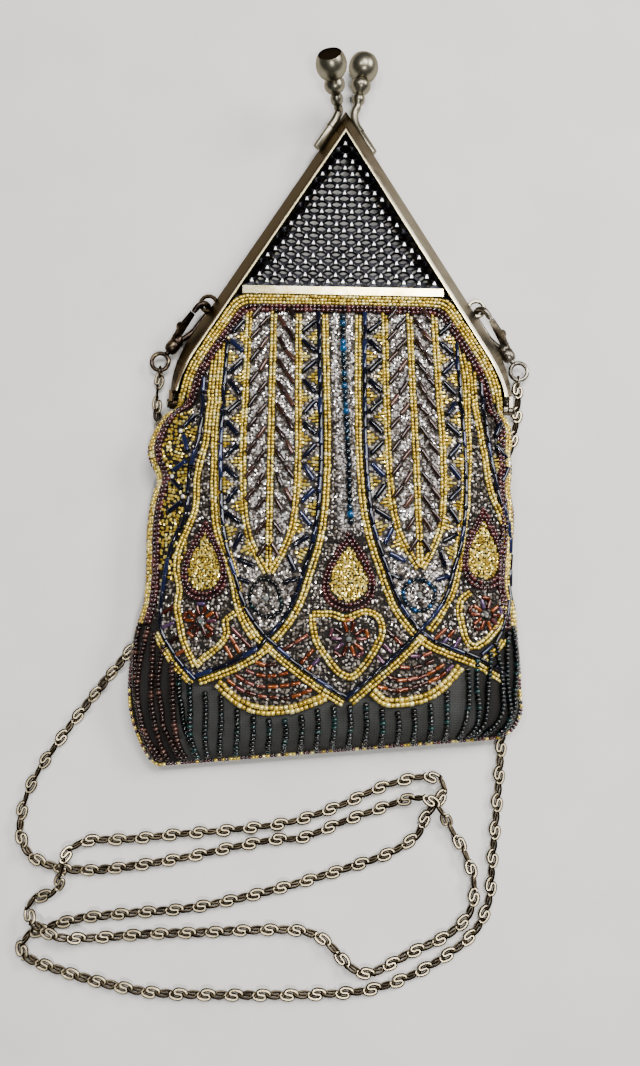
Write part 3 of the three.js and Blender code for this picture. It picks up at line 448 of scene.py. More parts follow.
# Sections from the bottom seam to the base bar: side seams' x and y, height of the edge, height of the middle
SECTIONS = np.array([
    (-69, -80, 64, -67, 6, 6),
    (-72.8, -76, 67.6, -65, 6.5, 11),
    (-75.4, -70.5, 70.3, -61.8, 7.4, 14.5),
    (-78.2, -63.5, 72, -56.5, 8.4, 17.5),
    (-79.8, -54, 71.4, -49, 9.4, 20.5),
    (-79.6, -42, 71, -40, 10.2, 22.6),
    (-78, -29, 69.9, -28, 10.8, 24.2),
    (-75.2, -18, 69.2, -18, 11, 25),
    (-74.8, -5, 67.2, -7, 11, 25.6),
    (-75.3, 10, 68.3, 8, 11, 25.8),
    (-74.3, 23, 69, 20, 11, 25.6),
    (-72.1, 31.5, 67.6, 30, 11, 25.2),
    (-75.4, 38.5, 68.3, 38, 11, 24.8),
    (-76.6, 44, 67.8, 45, 11, 24.4),
    (-74.3, 52, 68.7, 52, 10.6, 23.8),
    (-70.6, 58.4, 67.6, 58.4, 9.6, 23),
    (-65.2, 62, 65.2, 62, 8, 22.4),
    (-65.3, 67.4, 65.3, 67.4, 12.6, 21.4),
    (-64, 73, 64, 73, 13.9, 20.4),
    (-61.3, 80, 61.3, 80, 14.2, 19.4),
    (-56.5, 88.5, 56.5, 88.5, 14.2, 18.2),
    (-50.4, 98.5, 50.4, 98.5, 14.2, 16.6),
    (-43.8, 109.4, 43.8, 109.4, 14.2, 14.8),
])
HINGE_SECTION = 16
# Height of the back's edge: the front's up to the hinge, then these down to the base bar
BACK_EDGE_ABOVE = (8, 3.4, 2.1, 1.8, 1.8, 1.8, 1.8)
OVERHANG, HEEL = 16, 13
DRAPE_HEIGHT, DRAPE_REACH = 4.7, 7
# The chain's stretches under the pouch: right of this x, and between these heights
UNDER_X, UNDER_LOW, UNDER_HIGH = -85, -75, 58
SWELL_POWER, SWELL_ROUNDNESS = 2.4, 0.6
# Folds fade by this power of s towards the side seams, and over this many sections from the bottom seam
FADE_POWER, FADE_SECTIONS = 6, 3
SEAM_SHARE = 0.999

# Dents and gathers: centre, direction of the crease in degrees, half length, half width, depth
FOLDS = np.array([
    (-68, 33, -12, 13, 4, 3.2),
    (-70, 48, -25, 9, 3.5, 1.6),
    (-73, -56, 80, 22, 2.6, 3.2),
    (-66, -58, 84, 20, 2.4, 2.4),
    (-58.5, -62, 86, 15, 2.4, 1.6),
    (66, -48, 97, 20, 2.6, 2.6),
    (58.5, -54, 94, 14, 2.4, 1.6),
    (64, -10, 8, 11, 4, 2),
    (65, 46, 15, 10, 4, 1.4),
])

SECTION_STEPS = 8
sections = smooth_path(SECTIONS, SECTION_STEPS)
section_number = np.arange(len(sections)) / SECTION_STEPS
TOP = len(SECTIONS) - 1


def section(t, column):
    """One column of the sections at the section number t."""
    return np.interp(t, section_number, sections[:, column])


def fold_depth(x, y):
    """Sum of the creases, each a bell curve along and across its own direction."""
    total = np.zeros(np.shape(x))
    for fold_x, fold_y, degrees, length, width, depth in FOLDS:
        c, s = np.cos(np.radians(degrees)), np.sin(np.radians(degrees))
        along = ((x - fold_x) * c + (y - fold_y) * s) / length
        across = ((y - fold_y) * c - (x - fold_x) * s) / width
        total = total + depth * np.exp(-along ** 2 - across ** 2)
    return total


def plan_points(s, t):
    """Plan x and y: s runs from the left seam (-1) to the right (1), and t counts the sections."""
    share = (1 + s) / 2
    x = section(t, 0) + share * (section(t, 2) - section(t, 0))
    return x, section(t, 1) + share * (section(t, 3) - section(t, 1))


def front_points(s, t):
    """Front of the pouch: from the edge's height to the middle's along (1 - |s| ^ 2.4) ^ 0.6, less the folds,
    which fade towards the seams."""
    x, y = plan_points(s, t)
    swell = np.maximum(1 - np.abs(s) ** SWELL_POWER, 0) ** SWELL_ROUNDNESS
    calm = (1 - s ** FADE_POWER) * np.minimum(1, t / FADE_SECTIONS)
    z = section(t, 4) + (section(t, 5) - section(t, 4)) * swell - fold_depth(x, y) * calm
    return np.stack([x, y, z], axis=-1)


def back_points(s, t):
    """Back of the pouch: flat on the surface, rising by a quarter ellipse to the seams, and lying over the
    stretches of chain beneath it in half ellipses."""
    x, y = plan_points(s, t)
    above = np.arange(HINGE_SECTION, TOP + 1)
    edge = np.where(t > HINGE_SECTION, np.interp(t, above, BACK_EDGE_ABOVE), section(t, 4))
    from_side = (1 - np.abs(s)) * (section(t, 2) - section(t, 0)) / 2
    from_bottom = y - plan_points(s, np.zeros_like(t))[1]
    reach = np.maximum(1 - np.minimum(from_side / OVERHANG, 1), 1 - np.minimum(from_bottom / HEEL, 1))
    rise = 1 - np.sqrt(np.maximum(1 - np.clip(reach, 0, 1) ** 2, 0))
    under = smooth_path(ROUTE[:, :2], 4)
    under = under[(under[:, 0] > UNDER_X) & (under[:, 1] > UNDER_LOW) & (under[:, 1] < UNDER_HIGH)]
    off_route = np.hypot(x[..., None] - under[:, 0], y[..., None] - under[:, 1]).min(axis=-1)
    drape = DRAPE_HEIGHT * np.sqrt(np.maximum(1 - (off_route / DRAPE_REACH) ** 2, 0))
    is_sewn = (np.abs(s) > SEAM_SHARE) | (t < 1 - SEAM_SHARE)
    return np.stack([x, y, np.where(is_sewn, edge * rise, np.maximum(edge * rise, drape))], axis=-1)


MAP_STEP = 0.5
map_x = np.arange(-82, 75, MAP_STEP)
map_y = np.arange(-82, 111, MAP_STEP)


def height_map():
    """Height of the front on a square plan grid: each place's section number is found by halving."""
    x, y = np.meshgrid(map_x, map_y, indexing="ij")
    low, high = np.zeros_like(x), np.full_like(x, TOP)
    for _ in range(24):
        t = (low + high) / 2
        share = np.clip((x - section(t, 0)) / (section(t, 2) - section(t, 0)), 0, 1)
        is_above = section(t, 1) + share * (section(t, 3) - section(t, 1)) > y
        high, low = np.where(is_above, t, high), np.where(is_above, low, t)
    return front_points(2 * share - 1, t)[..., 2]


front_height = height_map()
slope_x, slope_y = np.gradient(front_height, MAP_STEP)


def read_map(table, xy):
    """A value of a plan grid between its four nearest corners."""
    u = np.clip((xy[..., 0] - map_x[0]) / MAP_STEP, 0, len(map_x) - 1.001)
    v = np.clip((xy[..., 1] - map_y[0]) / MAP_STEP, 0, len(map_y) - 1.001)
    i, j = u.astype(int), v.astype(int)
    a, b = u - i, v - j
    low = table[i, j] * (1 - a) + table[i + 1, j] * a
    high = table[i, j + 1] * (1 - a) + table[i + 1, j + 1] * a
    return low * (1 - b) + high * b


def on_front(xy):
    """Points of the front over plan places, and the cloth's normals there."""
    xy = np.asarray(xy, float)
    points = np.concatenate([xy, read_map(front_height, xy)[..., None]], axis=-1)
    steep = np.stack([-read_map(slope_x, xy), -read_map(slope_y, xy), np.ones(len(xy))], axis=-1)
    return points, unit(steep)


# Beadwork: strands are walked over the front, and each lot of beads is gathered and made as one piece

lots = {}
crystals = []
# Share of a bead's width between its middle and the cloth
LIFT = 0.45
# Beads on threads: length, width, and pitch along the thread
GOLD = (1.4, 1.32, 1.54)
OXBLOOD = (1.7, 1.95, 1.74)
OUTLINE_BUGLE = (6.3, 2.0, 6.35)
OUTER_BUGLE = (6.3, 1.9, 6.35)
RING_BEAD = (1.5, 1.75, 1.65)
STRIP_BEAD = (2.5, 2.9, 2.7)
DROP_BEAD = (1.45, 1.75, 1.5)
FAN_EDGE_BEAD = (1.7, 1.9, 1.8)
ARC_BUGLE = (3.7, 1.5, 3.9)
COLUMN_BEAD = (1.5, 2.45, 1.56)
# Gap from one gold thread to the next, and how uneven the beads of a thread are in place and size
STRAND_GAP, WOBBLE, UNEVEN = 1.45, 0.07, 0.05
# Strewn beads: length, width, and share of the width between their middles and the cloth
DROP_FILL, SILVER_FILL = (1.05, 0.9, LIFT), (1.15, 1.0, 0.35)
SIDE_FILL, SMOKE_FILL = (1.3, 1.2, LIFT), (1.2, 1.05, 0.35)
# How far they are shaken off their grid, as a share of its spacing, and their least and greatest size
SHAKE, STREWN_SIZES = 0.35, (0.8, 1.15)


def gather(lot, points, along, normals, length, width, lift=LIFT):
    """Adds beads to a lot: points of the cloth, thread directions, the cloth's normals, length and width."""
    count = len(points)
    if count == 0:
        return
    length, width = np.broadcast_to(length, count), np.broadcast_to(width, count)
    centre = points + normals * (width * lift)[:, None]
    lots.setdefault(lot, []).append((centre, along, normals, length, width))


def sew(lot, xy, heading, length, width, lift=LIFT):
    """Beads on the front at plan places, their threads along plan headings."""
    points, normals = on_front(xy)
    flat = np.concatenate([heading, np.zeros((len(xy), 1))], axis=1)
    along = unit(flat - normals * np.sum(flat * normals, axis=1, keepdims=True))
    gather(lot, points, along, normals, length, width, lift)


def walk(path, pitch, keep=None, is_smooth=True):
    """Places and headings at equal steps along a plan path laid on the front, only where keep holds."""
    dense = smooth_path(path) if is_smooth else path
    run = distances(on_front(dense)[0])
    at = even_steps(run, pitch)
    xy = points_at(at, run, dense)
    heading = unit(points_at(at, run, unit(np.gradient(dense, axis=0))))
    kept = slice(None) if keep is None else keep(xy)
    return xy[kept], heading[kept]


def left_of(heading):
    """Plan headings turned to their left by a right angle."""
    return np.stack([-heading[:, 1], heading[:, 0]], axis=1)


def beside(path, offset):
    """The plan path moved sideways, to its left where offset is positive."""
    dense = smooth_path(path)
    return dense + left_of(unit(np.gradient(dense, axis=0))) * offset


def strand(lot, path, bead, keep=None, is_smooth=True):
    """One thread of beads along a plan path, only where keep holds."""
    length, width, pitch = bead
    xy, heading = walk(path, pitch, keep, is_smooth)
    wobble = chance.normal(0, WOBBLE, (len(xy), 2))
    size = chance.normal(1, UNEVEN, len(xy))
    sew(lot, xy + wobble, heading, length * size, width * size)


def gold_lines(lot, path, count, keep=None):
    """Several gold threads side by side, centred on a plan path."""
    for k in range(count):
        strand(lot, beside(path, (k - (count - 1) / 2) * STRAND_GAP), GOLD, keep, is_smooth=False)


# Border along the frame and the base bar

EDGE = np.array([(-65.3, 66), (-64, 73), (-61.3, 80), (-56.5, 88.5), (-43.8, 109.4),
                 (43.8, 109.4), (56.5, 88.5), (61.3, 80), (64, 73), (65.3, 66)])
BORDER = 8.3
# Its threads: lot, how far in under the frame, and how far in from the side seam where they run on down it
BORDER_ROWS = [("gold_border_beads", 0.9, 0.6), ("gold_border_beads", 2.35, 1.7),
               ("gold_border_beads", 3.8, None), ("oxblood_beads", 5.5, 3.2), ("oxblood_beads", 7.2, 4.7)]
# The sections where the rows on the side seams end, and how many neighbours round a corner
SEAM_ROWS, ROUNDING = (6.2, HINGE_SECTION - 1.4), 4


def inset(path, distance):
    """A plan path moved to its right, with its corners mitred."""
    along = unit(np.diff(path, axis=0))
    across = np.stack([along[:, 1], -along[:, 0]], axis=1)
    before, after = np.vstack([across[:1], across]), np.vstack([across, across[-1:]])
    mitre = unit(before + after)
    return path + mitre * (distance / np.sum(mitre * after, axis=1))[:, None]


def filled(path):
    """A path of straight stretches with points about 1 mm apart along them."""
    run = distances(path)
    return points_at(np.linspace(0, run[-1], int(run[-1])), run, path)


def edge_distance(xy):
    """Distance of plan places from the edge under the frame."""
    start, run = EDGE[:-1], np.diff(EDGE, axis=0)
    offset = xy[:, None] - start[None]
    share = np.clip(np.sum(offset * run, axis=2) / np.sum(run * run, axis=1), 0, 1)
    return np.linalg.norm(offset - share[..., None] * run, axis=2).min(axis=1)


def clear_of_border(xy):
    """Whether plan places lie below the border's threads."""
    return (edge_distance(xy) > BORDER) & (xy[:, 1] < EDGE[4, 1] - BORDER)


def border_path(distance, seam_distance):
    """A thread of the border: up the left seam, along under the frame and the bar, and down the right seam,
    with its corners rounded by averaging over neighbours."""
    path = inset(EDGE, distance)
    if seam_distance is not None:
        t = np.linspace(*SEAM_ROWS, 40)
        left = np.stack([section(t, 0) + seam_distance, section(t, 1)], axis=1)
        right = np.stack([section(t, 2) - seam_distance, section(t, 3)], axis=1)
        path = np.vstack([left, path, right[::-1]])
    dense = filled(path)
    spread = np.pad(dense, ((ROUNDING, ROUNDING), (0, 0)), mode="reflect", reflect_type="odd")
    return np.mean([spread[k:k + len(dense)] for k in range(2 * ROUNDING + 1)], axis=0)


def sew_border():
    """The border's threads, row by row."""
    for lot, distance, seam_distance in BORDER_ROWS:
        bead = GOLD if lot == "gold_border_beads" else OXBLOOD
        strand(lot, border_path(distance, seam_distance), bead, is_smooth=False)


# The lancets: two tall pointed panels, each about its own axis

LANCETS = {
    "left": {"top": -28, "low": -26.5, "raised": 0},
    "right": {"top": 27, "low": 31.5, "raised": 4},
}
LANCET_HIGH, LANCET_LOW, AXIS_LOW = 100, -31, -10
# Half widths: the inner gold lines, and the outline in black bugles
INNER = np.array([(108, 10), (72, 10.4), (41, 10.8), (20, 10), (8, 8), (0, 4.6), (-7, 0.7)])
OUTLINE = np.array([(108, 18), (72, 19), (41, 19.6), (20, 18.8), (8, 17.2), (0, 15.2), (-7, 13), (-15, 10.6),
                    (-22, 7.4), (-27, 3.8), (-31, 0.2)])
AXIS_HEIGHTS = np.array([108, 72, 41, 8, -6.0])
# Where each outline runs on, past the tip
TAILS = {
    ("left", -1): [(-16, -40), (-6, -47), (4, -53)],
    ("left", 1): [(-30, -35), (-40, -41), (-53, -46)],
    ("right", -1): [(37, -31), (45, -34), (56, -38), (65, -43)],
    ("right", 1): [(22, -37), (13, -45), (4, -53)],
}
# Gap from an outline's bugles to the gold lines outside it, and the height under which the outer ones run
OUTLINE_GAP, TAIL_HIGH = 2.6, -29
# Zigzags: bugles' length, width and step, their turn to the path and its spread in degrees
ZIGZAG = {"length": 6.9, "width": 2.3, "step": 8.6, "turn": 42, "spread": 4}
# Their corners: the point's bead, how far the outermost beads stand off the path, the gap from row to row and
# along a row, and the gold beads' length, width and unevenness in place
CORNER = {"point": 1.7, "off": 2.9, "row": 1.32, "gap": 1.4, "length": 1.35, "width": 1.2, "uneven": 0.1}
# Chevrons: the heights between which they start, step, fall for each mm outwards, start off the axis, how far
# short of the inner lines they end, places of the two bugles on that reach, room at the lines, unevenness
CHEVRON = {"low": 3, "high": 112, "step": 9.6, "fall": 1.55, "start": 1.9, "short": 3.4,
           "places": (0.25, 0.77), "room": 2.2, "uneven": 0.07}
CHEVRON_BUGLE = {"length": 5.7, "width": 2.0, "lift": 0.75}


def lancet_axis(lancet, y):
    """The axis's x at plan heights, on a line from its top to its low end."""
    share = np.clip((LANCET_HIGH - y) / (LANCET_HIGH - AXIS_LOW), 0, 1)
    return lancet["top"] + (lancet["low"] - lancet["top"]) * share


def lancet_height(lancet, y):
    """A charted height on one lancet: the lower end is raised in proportion."""
    return y + lancet["raised"] * np.clip((LANCET_HIGH - y) / (LANCET_HIGH - LANCET_LOW), 0, None)


def lancet_line(lancet, table, side):
    """A plan line that keeps the charted half width from the lancet's axis."""
    y = lancet_height(lancet, table[:, 0])
    return np.stack([lancet_axis(lancet, y) + side * table[:, 1], y], axis=1)


def half_width(lancet, table, y):
    """A charted half width at plan heights, zero below its end."""
    heights = lancet_height(lancet, table[:, 0])
    return np.interp(y, heights[::-1], table[::-1, 1], left=0)


def zigzag(path, keep):
    """Bugles turned to either side of a path by turns. Gold rows, longest in the middle, fill the corners
    between them, and a clear bead sits on each corner's point."""
    xy, heading = walk(path, ZIGZAG["step"], keep)
    sign = np.where(np.arange(len(xy)) % 2, 1, -1)
    angle = np.radians(ZIGZAG["turn"] + chance.normal(0, ZIGZAG["spread"], len(xy))) * sign
    leaning = heading * np.cos(angle)[:, None] + left_of(heading) * np.sin(angle)[:, None]
    sew("blue_black_bugles", xy, leaning, ZIGZAG["length"], ZIGZAG["width"])
    corner, along = (xy[1:] + xy[:-1]) / 2, heading[1:]
    across = left_of(along) * sign[1:, None]
    sew("silver_point_beads", corner - across * CORNER["off"], along, CORNER["point"], CORNER["point"])
    for row in range(-2, 3):
        for bead in range(3 - abs(row)):
            place = corner + along * (row * CORNER["row"]) + across * (CORNER["off"] - bead * CORNER["gap"])
            place = place + chance.normal(0, CORNER["uneven"], place.shape)
            kept = clear_of_border(place)
            sew("gold_fill_beads", place[kept], across[kept], CORNER["length"], CORNER["width"])


def chevrons(lancet):
    """Pairs of brown bugles end to end, falling away from the axis on both sides."""
    y = lancet_height(lancet, np.arange(CHEVRON["low"], CHEVRON["high"], CHEVRON["step"]))
    span = np.maximum(half_width(lancet, INNER, y) - CHEVRON["short"], 0)
    for side in (-1, 1):
        heading = np.tile(unit(np.array([side, -CHEVRON["fall"]])), (len(y), 1))
        for share in CHEVRON["places"]:
            x = lancet_axis(lancet, y) + side * (CHEVRON["start"] + span * share)
            place = np.stack([x, y - span * share * CHEVRON["fall"]], axis=1)
            off_axis = np.abs(place[:, 0] - lancet_axis(lancet, place[:, 1]))
            room = half_width(lancet, INNER, place[:, 1]) - off_axis
            kept = clear_of_border(place) & (room > CHEVRON["room"])
            leaning = unit(heading + chance.normal(0, CHEVRON["uneven"], heading.shape))
            sew("brown_bugles", place[kept], leaning[kept], **CHEVRON_BUGLE)


# Rings of dark beads under the lancets, a little out of round, each with a crystal and two spokes
RINGS = {
    "left": [(-29, -8.7), (-32.6, -12.6), (-33.2, -18), (-30, -22), (-25.6, -23.6), (-21.4, -20.6),
             (-22, -15.6), (-24, -11), (-29, -8.7)],
    "right": [(30.9, -7.6), (36, -10.6), (36.8, -15.4), (32.9, -19.6), (28, -19.2), (25, -15), (26, -10),
              (30.9, -7.6)],
}
SPOKES = {"degrees": (28, 152), "reach": 10.2, "raised": 2, "flatness": 0.6, "length": 5.6, "width": 1.8}
RING_CRYSTAL, FLOWER_CRYSTAL = 1.2, 1.1


def sew_lancet(name):
    """One lancet: gold lines on its axis and its inner edges, zigzags, its outline in bugles with gold
    lines outside, chevrons, and the ring below them."""
    lancet = LANCETS[name]
    axis_y = lancet_height(lancet, AXIS_HEIGHTS)
    axis = np.stack([lancet_axis(lancet, axis_y), axis_y], axis=1)
    gold_lines("gold_lancet_beads", axis, 2, clear_of_border)
    outline_width = np.interp(INNER[:, 0], OUTLINE[::-1, 0], OUTLINE[::-1, 1])
    middle = np.stack([INNER[:, 0], (INNER[:, 1] + outline_width) / 2], axis=1)
    for side in (-1, 1):
        gold_lines("gold_lancet_beads", lancet_line(lancet, INNER, side), 2, clear_of_border)
        zigzag(lancet_line(lancet, middle, side), clear_of_border)
        outline = np.vstack([lancet_line(lancet, OUTLINE, side), TAILS[name, side]])
        strand("blue_black_bugles", outline, OUTLINE_BUGLE, clear_of_border)
        is_outer = (name == "left") == (side < 0)
        held = (lambda xy: xy[:, 1] < TAIL_HIGH) if is_outer else clear_of_border
        gold_lines("gold_lancet_beads", beside(outline, side * OUTLINE_GAP), 2, held)
    chevrons(lancet)
    ring = np.array(RINGS[name])
    centre = ring[:-1].mean(axis=0)
    strand("hematite_beads" if name == "left" else "peacock_beads", ring, RING_BEAD)
    crystals.append((centre, RING_CRYSTAL))
    angle = np.radians(SPOKES["degrees"])
    out = np.stack([np.cos(angle), np.sin(angle)], axis=1)
    place = centre + out * SPOKES["reach"] + (0, SPOKES["raised"])
    sew("blue_black_bugles", place, out * (1, SPOKES["flatness"]), SPOKES["length"], SPOKES["width"])


# Between and beside the lancets

STRIP_LINE = [(0, 100), (1, 72), (3, 40), (4, 19), (4.4, 12)]
# Five gold threads beside each lancet: three run down along it, two bend away round the teardrop
STRIPES = {
    "left": ([(-47.4, 92), (-47.6, 86.8), (-48, 73.6), (-48.6, 57.4), (-48.8, 45.8), (-48.5, 39.5),
              (-48.4, 29.3), (-47.7, 19), (-46.6, 10.9), (-44.4, 4), (-41.9, -2), (-39.2, -10.7),
              (-37.4, -19), (-34.6, -26), (-31, -31)],
             [(-51, 92), (-51.2, 84.7), (-51.7, 73.7), (-52.3, 57.5), (-52.8, 45.9), (-54.1, 39.6),
              (-56, 30.7), (-55.6, 23.4), (-56, 17.4), (-58.6, 10.1), (-61, 4.1), (-62.4, -0.8),
              (-62.2, -6.9), (-60.8, -13.4), (-61.5, -19.6), (-59.8, -27.9), (-57.9, -34.5), (-53.6, -42.6)]),
    "right": ([(46, 92), (47, 86.6), (48.9, 76.6), (49.6, 66.1), (49.5, 52.5), (49.9, 42), (49.2, 31.6),
               (48.9, 23.4), (48, 16.2), (47, 8.6), (46.2, 1.1), (45, -5.3), (43.4, -11.3), (39.2, -20),
               (34.4, -27)],
              [(49.6, 92), (50.6, 86), (52.5, 76.9), (53.3, 66.4), (55, 53.1), (57, 42.8), (58.4, 32.5),
               (60.3, 25.3), (62.9, 20), (65.2, 12.6), (65.8, 2.5), (65.3, -5)]),
}
# The outermost outlines, cut off by the side seams
OUTER_LINES = {
    "left": [(-54.6, 92), (-55, 77.4), (-55.2, 65.2), (-55.3, 54.6), (-56, 46), (-57.4, 39.7), (-59.4, 30.6),
             (-59, 22), (-60, 14), (-63.4, 7), (-66, -2), (-67.6, -14), (-68, -24), (-67.6, -28.5),
             (-61.5, -38.6), (-56.1, -44.6), (-53, -47.3)],
    "right": [(53.2, 92), (55.6, 76), (56.4, 66), (58, 53.3), (60.6, 36.2), (63.2, 25.1), (65.6, 19),
              (67.4, 10), (67.6, -4), (66.6, -16), (62, -29), (55, -36)],
}
# Gaps from an outermost outline to the gold lines and the zigzag outside it, the height below which the
# lines run, how many of its points the zigzag follows, and the zigzag's reach from the middle
OUTER = {"gold": 2.5, "zigzag": 4.6, "below": -30, "points": 9, "reach": 67}
# Teardrops: centre of the charted form, half width, half height
TEARDROPS = {
    "left": ((-51.5, -2), 10.2, 15),
    "centre": ((4, -5.5), 11.4, 14.8),
    "right": ((56.3, 5.5), 10, 15.6),
}
# Sizes of their two oxblood threads and of their gold fields, and the spacing in a field
DROP_SCALES, FIELD_SCALE, FIELD_GAP = (1.0, 0.84), 0.74, 0.92


def teardrop(centre, wide, tall, scale):
    """A drop with its point up: x = 1.15 sin a * sin(a / 2) ^ 1.3, y = cos a, stretched to its half width
    and height; smaller ones sit lower."""
    angle = np.linspace(0, 2 * np.pi, 40)
    fullness = np.abs(np.sin(angle / 2)) ** 1.3
    x = np.sin(angle) * fullness * wide * scale * 1.15
    return np.array(centre) + np.stack([x, np.cos(angle) * tall * scale - (1 - scale) * 2], axis=1)


def inside_loop(xy, loop):
    """Whether plan places lie inside a closed loop, by counting the sides crossed to their right."""
    a, b = loop[:-1], loop[1:]
    y = xy[:, None, 1]
    spans = (a[:, 1] > y) != (b[:, 1] > y)
    rise = np.where(b[:, 1] == a[:, 1], 1e-9, b[:, 1] - a[:, 1])
    crossing = a[:, 0] + (y - a[:, 1]) / rise * (b[:, 0] - a[:, 0])
    return (spans & (xy[:, None, 0] < crossing)).sum(axis=1) % 2 == 1


def scatter(lot, box, spacing, bead, keep):
    """Beads strewn over a plan box on a shaken grid, where keep holds, turned and sized at random."""
    length, width, lift = bead
    x, y = np.meshgrid(*(np.arange(low, high, spacing) for low, high in zip(*box)))
    xy = np.stack([x.ravel(), y.ravel()], axis=1) + chance.uniform(-SHAKE, SHAKE, (x.size, 2)) * spacing
    xy = xy[keep(xy)]
    angle = chance.uniform(0, np.pi, len(xy))
    size = chance.uniform(*STREWN_SIZES, len(xy))
    sew(lot, xy, np.stack([np.cos(angle), np.sin(angle)], axis=1), length * size, width * size, lift)


def sew_between():
    """The strip between the lancets, the stripes and outlines beside them, and the teardrops."""
    strand("peacock_beads", STRIP_LINE, STRIP_BEAD, clear_of_border)
    for side, (along_lancet, round_drop) in STRIPES.items():
        gold_lines("gold_stripe_beads", along_lancet, 3, clear_of_border)
        gold_lines("gold_stripe_beads", round_drop, 2, clear_of_border)
        outer = OUTER_LINES[side]
        strand("blue_black_bugles", outer, OUTER_BUGLE, clear_of_border)
        out = 1 if side == "right" else -1
        gold_lines("gold_stripe_beads", beside(outer, out * OUTER["gold"]), 2,
                   lambda xy: xy[:, 1] < OUTER["below"])
        zigzag(beside(outer[:OUTER["points"]], out * OUTER["zigzag"]),
               lambda xy: clear_of_border(xy) & (np.abs(xy[:, 0]) < OUTER["reach"]))
    for drop in TEARDROPS.values():
        for scale in DROP_SCALES:
            strand("oxblood_beads", teardrop(*drop, scale), DROP_BEAD)
        field = teardrop(*drop, FIELD_SCALE)
        scatter("gold_fill_beads", (field.min(0), field.max(0)), FIELD_GAP, DROP_FILL,
                lambda xy: inside_loop(xy, field))


# The lower band: shields with flowers, bars and fans

# Outlines of the shields
SHIELDS = {
    "left": [(-53.6, -42.6), (-49.9, -38.9), (-45.4, -35.3), (-41.9, -30.2), (-42.4, -25.2), (-38.6, -22.1)],
    "centre": [(-9.7, -22), (-2.5, -21.9), (3.2, -23.3), (10, -20.8), (15.4, -22.6), (17, -27.8),
               (15.6, -32.4), (11.9, -38.8), (7.1, -44.5), (3.7, -45), (-0.1, -42.8), (-4.4, -37.3),
               (-7.9, -32.1), (-9.2, -26.9), (-9.7, -22)],
    "right": [(50.9, -12), (47.3, -15.2), (46.4, -18.9), (47, -22.5), (49, -29.8), (52.2, -32.8),
              (56.9, -30.5), (60.7, -26.4), (64, -21.2), (64.9, -13.9)],
}
# Flowers in the shields: centre, size
FLOWERS = {"left": ((-52, -25.3), 0.78), "centre": ((4.5, -31.1), 0.86), "right": ((57, -20.6), 0.78)}
# A petal at full size: side bugles' places outwards and sideways, splay and length; tip's place and length
PETAL = {"out": 5.2, "side": 1.6, "splay": 0.3, "length": 4.6, "tip_out": 8.3, "tip_length": 3.8}
# Bars of rust bugles, each from its upper end to its lower one
BARS = [
    [(-10.8, -29.7), (-21.2, -36.4)], [(-8.7, -35.1), (-13.6, -40.7)], [(-6.6, -38.6), (-11.6, -43.7)],
    [(18.3, -27.2), (24.8, -32.9)], [(17.4, -32.6), (20.7, -35.9)], [(15, -37), (18.5, -40.4)],
    [(-39.9, -27.7), (-32.6, -35.1)], [(-40.6, -30.6), (-36.6, -37.2)], [(-42.3, -34.4), (-39.6, -39.3)],
    [(41.5, -26.1), (36.9, -30.7)], [(44.6, -26.7), (39.7, -32.5)], [(47, -29.3), (44, -34.3)],
    [(-62.4, -20), (-68, -22.6)], [(-62, -26), (-67.4, -28)], [(-59.8, -31), (-64.6, -34)],
    [(-57.6, -36), (-61.4, -38.6)],
]
# Fans: the gold edge, then the arcs of rust bugles above it
FANS = [
    [(-45.1, -48.4), (-36.8, -55.2), (-29.1, -58), (-18.9, -57.8), (-11.3, -55.8), (-3.7, -52.6)],
    [(-41.5, -47), (-36.4, -50.5), (-31.2, -52.4), (-22.7, -53.6), (-16.4, -53), (-8.9, -50)],
    [(-38.5, -45.3), (-33.4, -48.2), (-28.2, -49.4), (-21.2, -49.2), (-13, -47.7)],
    [(-34.6, -43.4), (-29.8, -45.2), (-24.7, -45.5), (-17.8, -44.1)],
    [(-30.7, -40.4), (-26.6, -41.4), (-22.6, -40.8)],
    [(13.7, -50.3), (18.9, -54), (26.3, -53.9), (33.8, -52.2), (38.7, -49.3), (43.7, -44.7), (47.1, -40.2)],
    [(15.5, -48.6), (23.7, -49.8), (30.6, -48), (38.4, -44.8), (44.6, -39.8)],
    [(19.1, -44.8), (24.6, -45.9), (33.6, -44), (41, -39.8)],
    [(23.3, -41.2), (30.5, -41), (37.6, -37.9)],
    [(27.4, -36.8), (32, -36.8), (36.4, -35.3)],
]
FAN_EDGES = (0, 5)
# Their gold threads: the first one's offset to the left of the edge, and the gap to the second
FAN_THREADS = {"first": 0.9, "gap": 1.9}
RUST_WIDTH = 1.5
# A bar longer than this has two bugles; the gap at its end
LONG_BAR, BAR_GAP = 7, 0.3


def flower(centre, size):
    """Five petals, each two bugles from the middle and one across their ends."""
    for petal in np.radians(90 + 72 * np.arange(5)):
        out = np.array([np.cos(petal), np.sin(petal)])
        across = np.array([-out[1], out[0]])
        for side in (-1, 1):
            heading = unit(out + side * PETAL["splay"] * across)
            place = centre + out * PETAL["out"] * size + across * side * PETAL["side"] * size
            sew("rust_bugles", place[None], heading[None], PETAL["length"] * size, RUST_WIDTH)
        tip = centre + out * PETAL["tip_out"] * size
        sew("rust_bugles", tip[None], across[None], PETAL["tip_length"] * size, RUST_WIDTH)


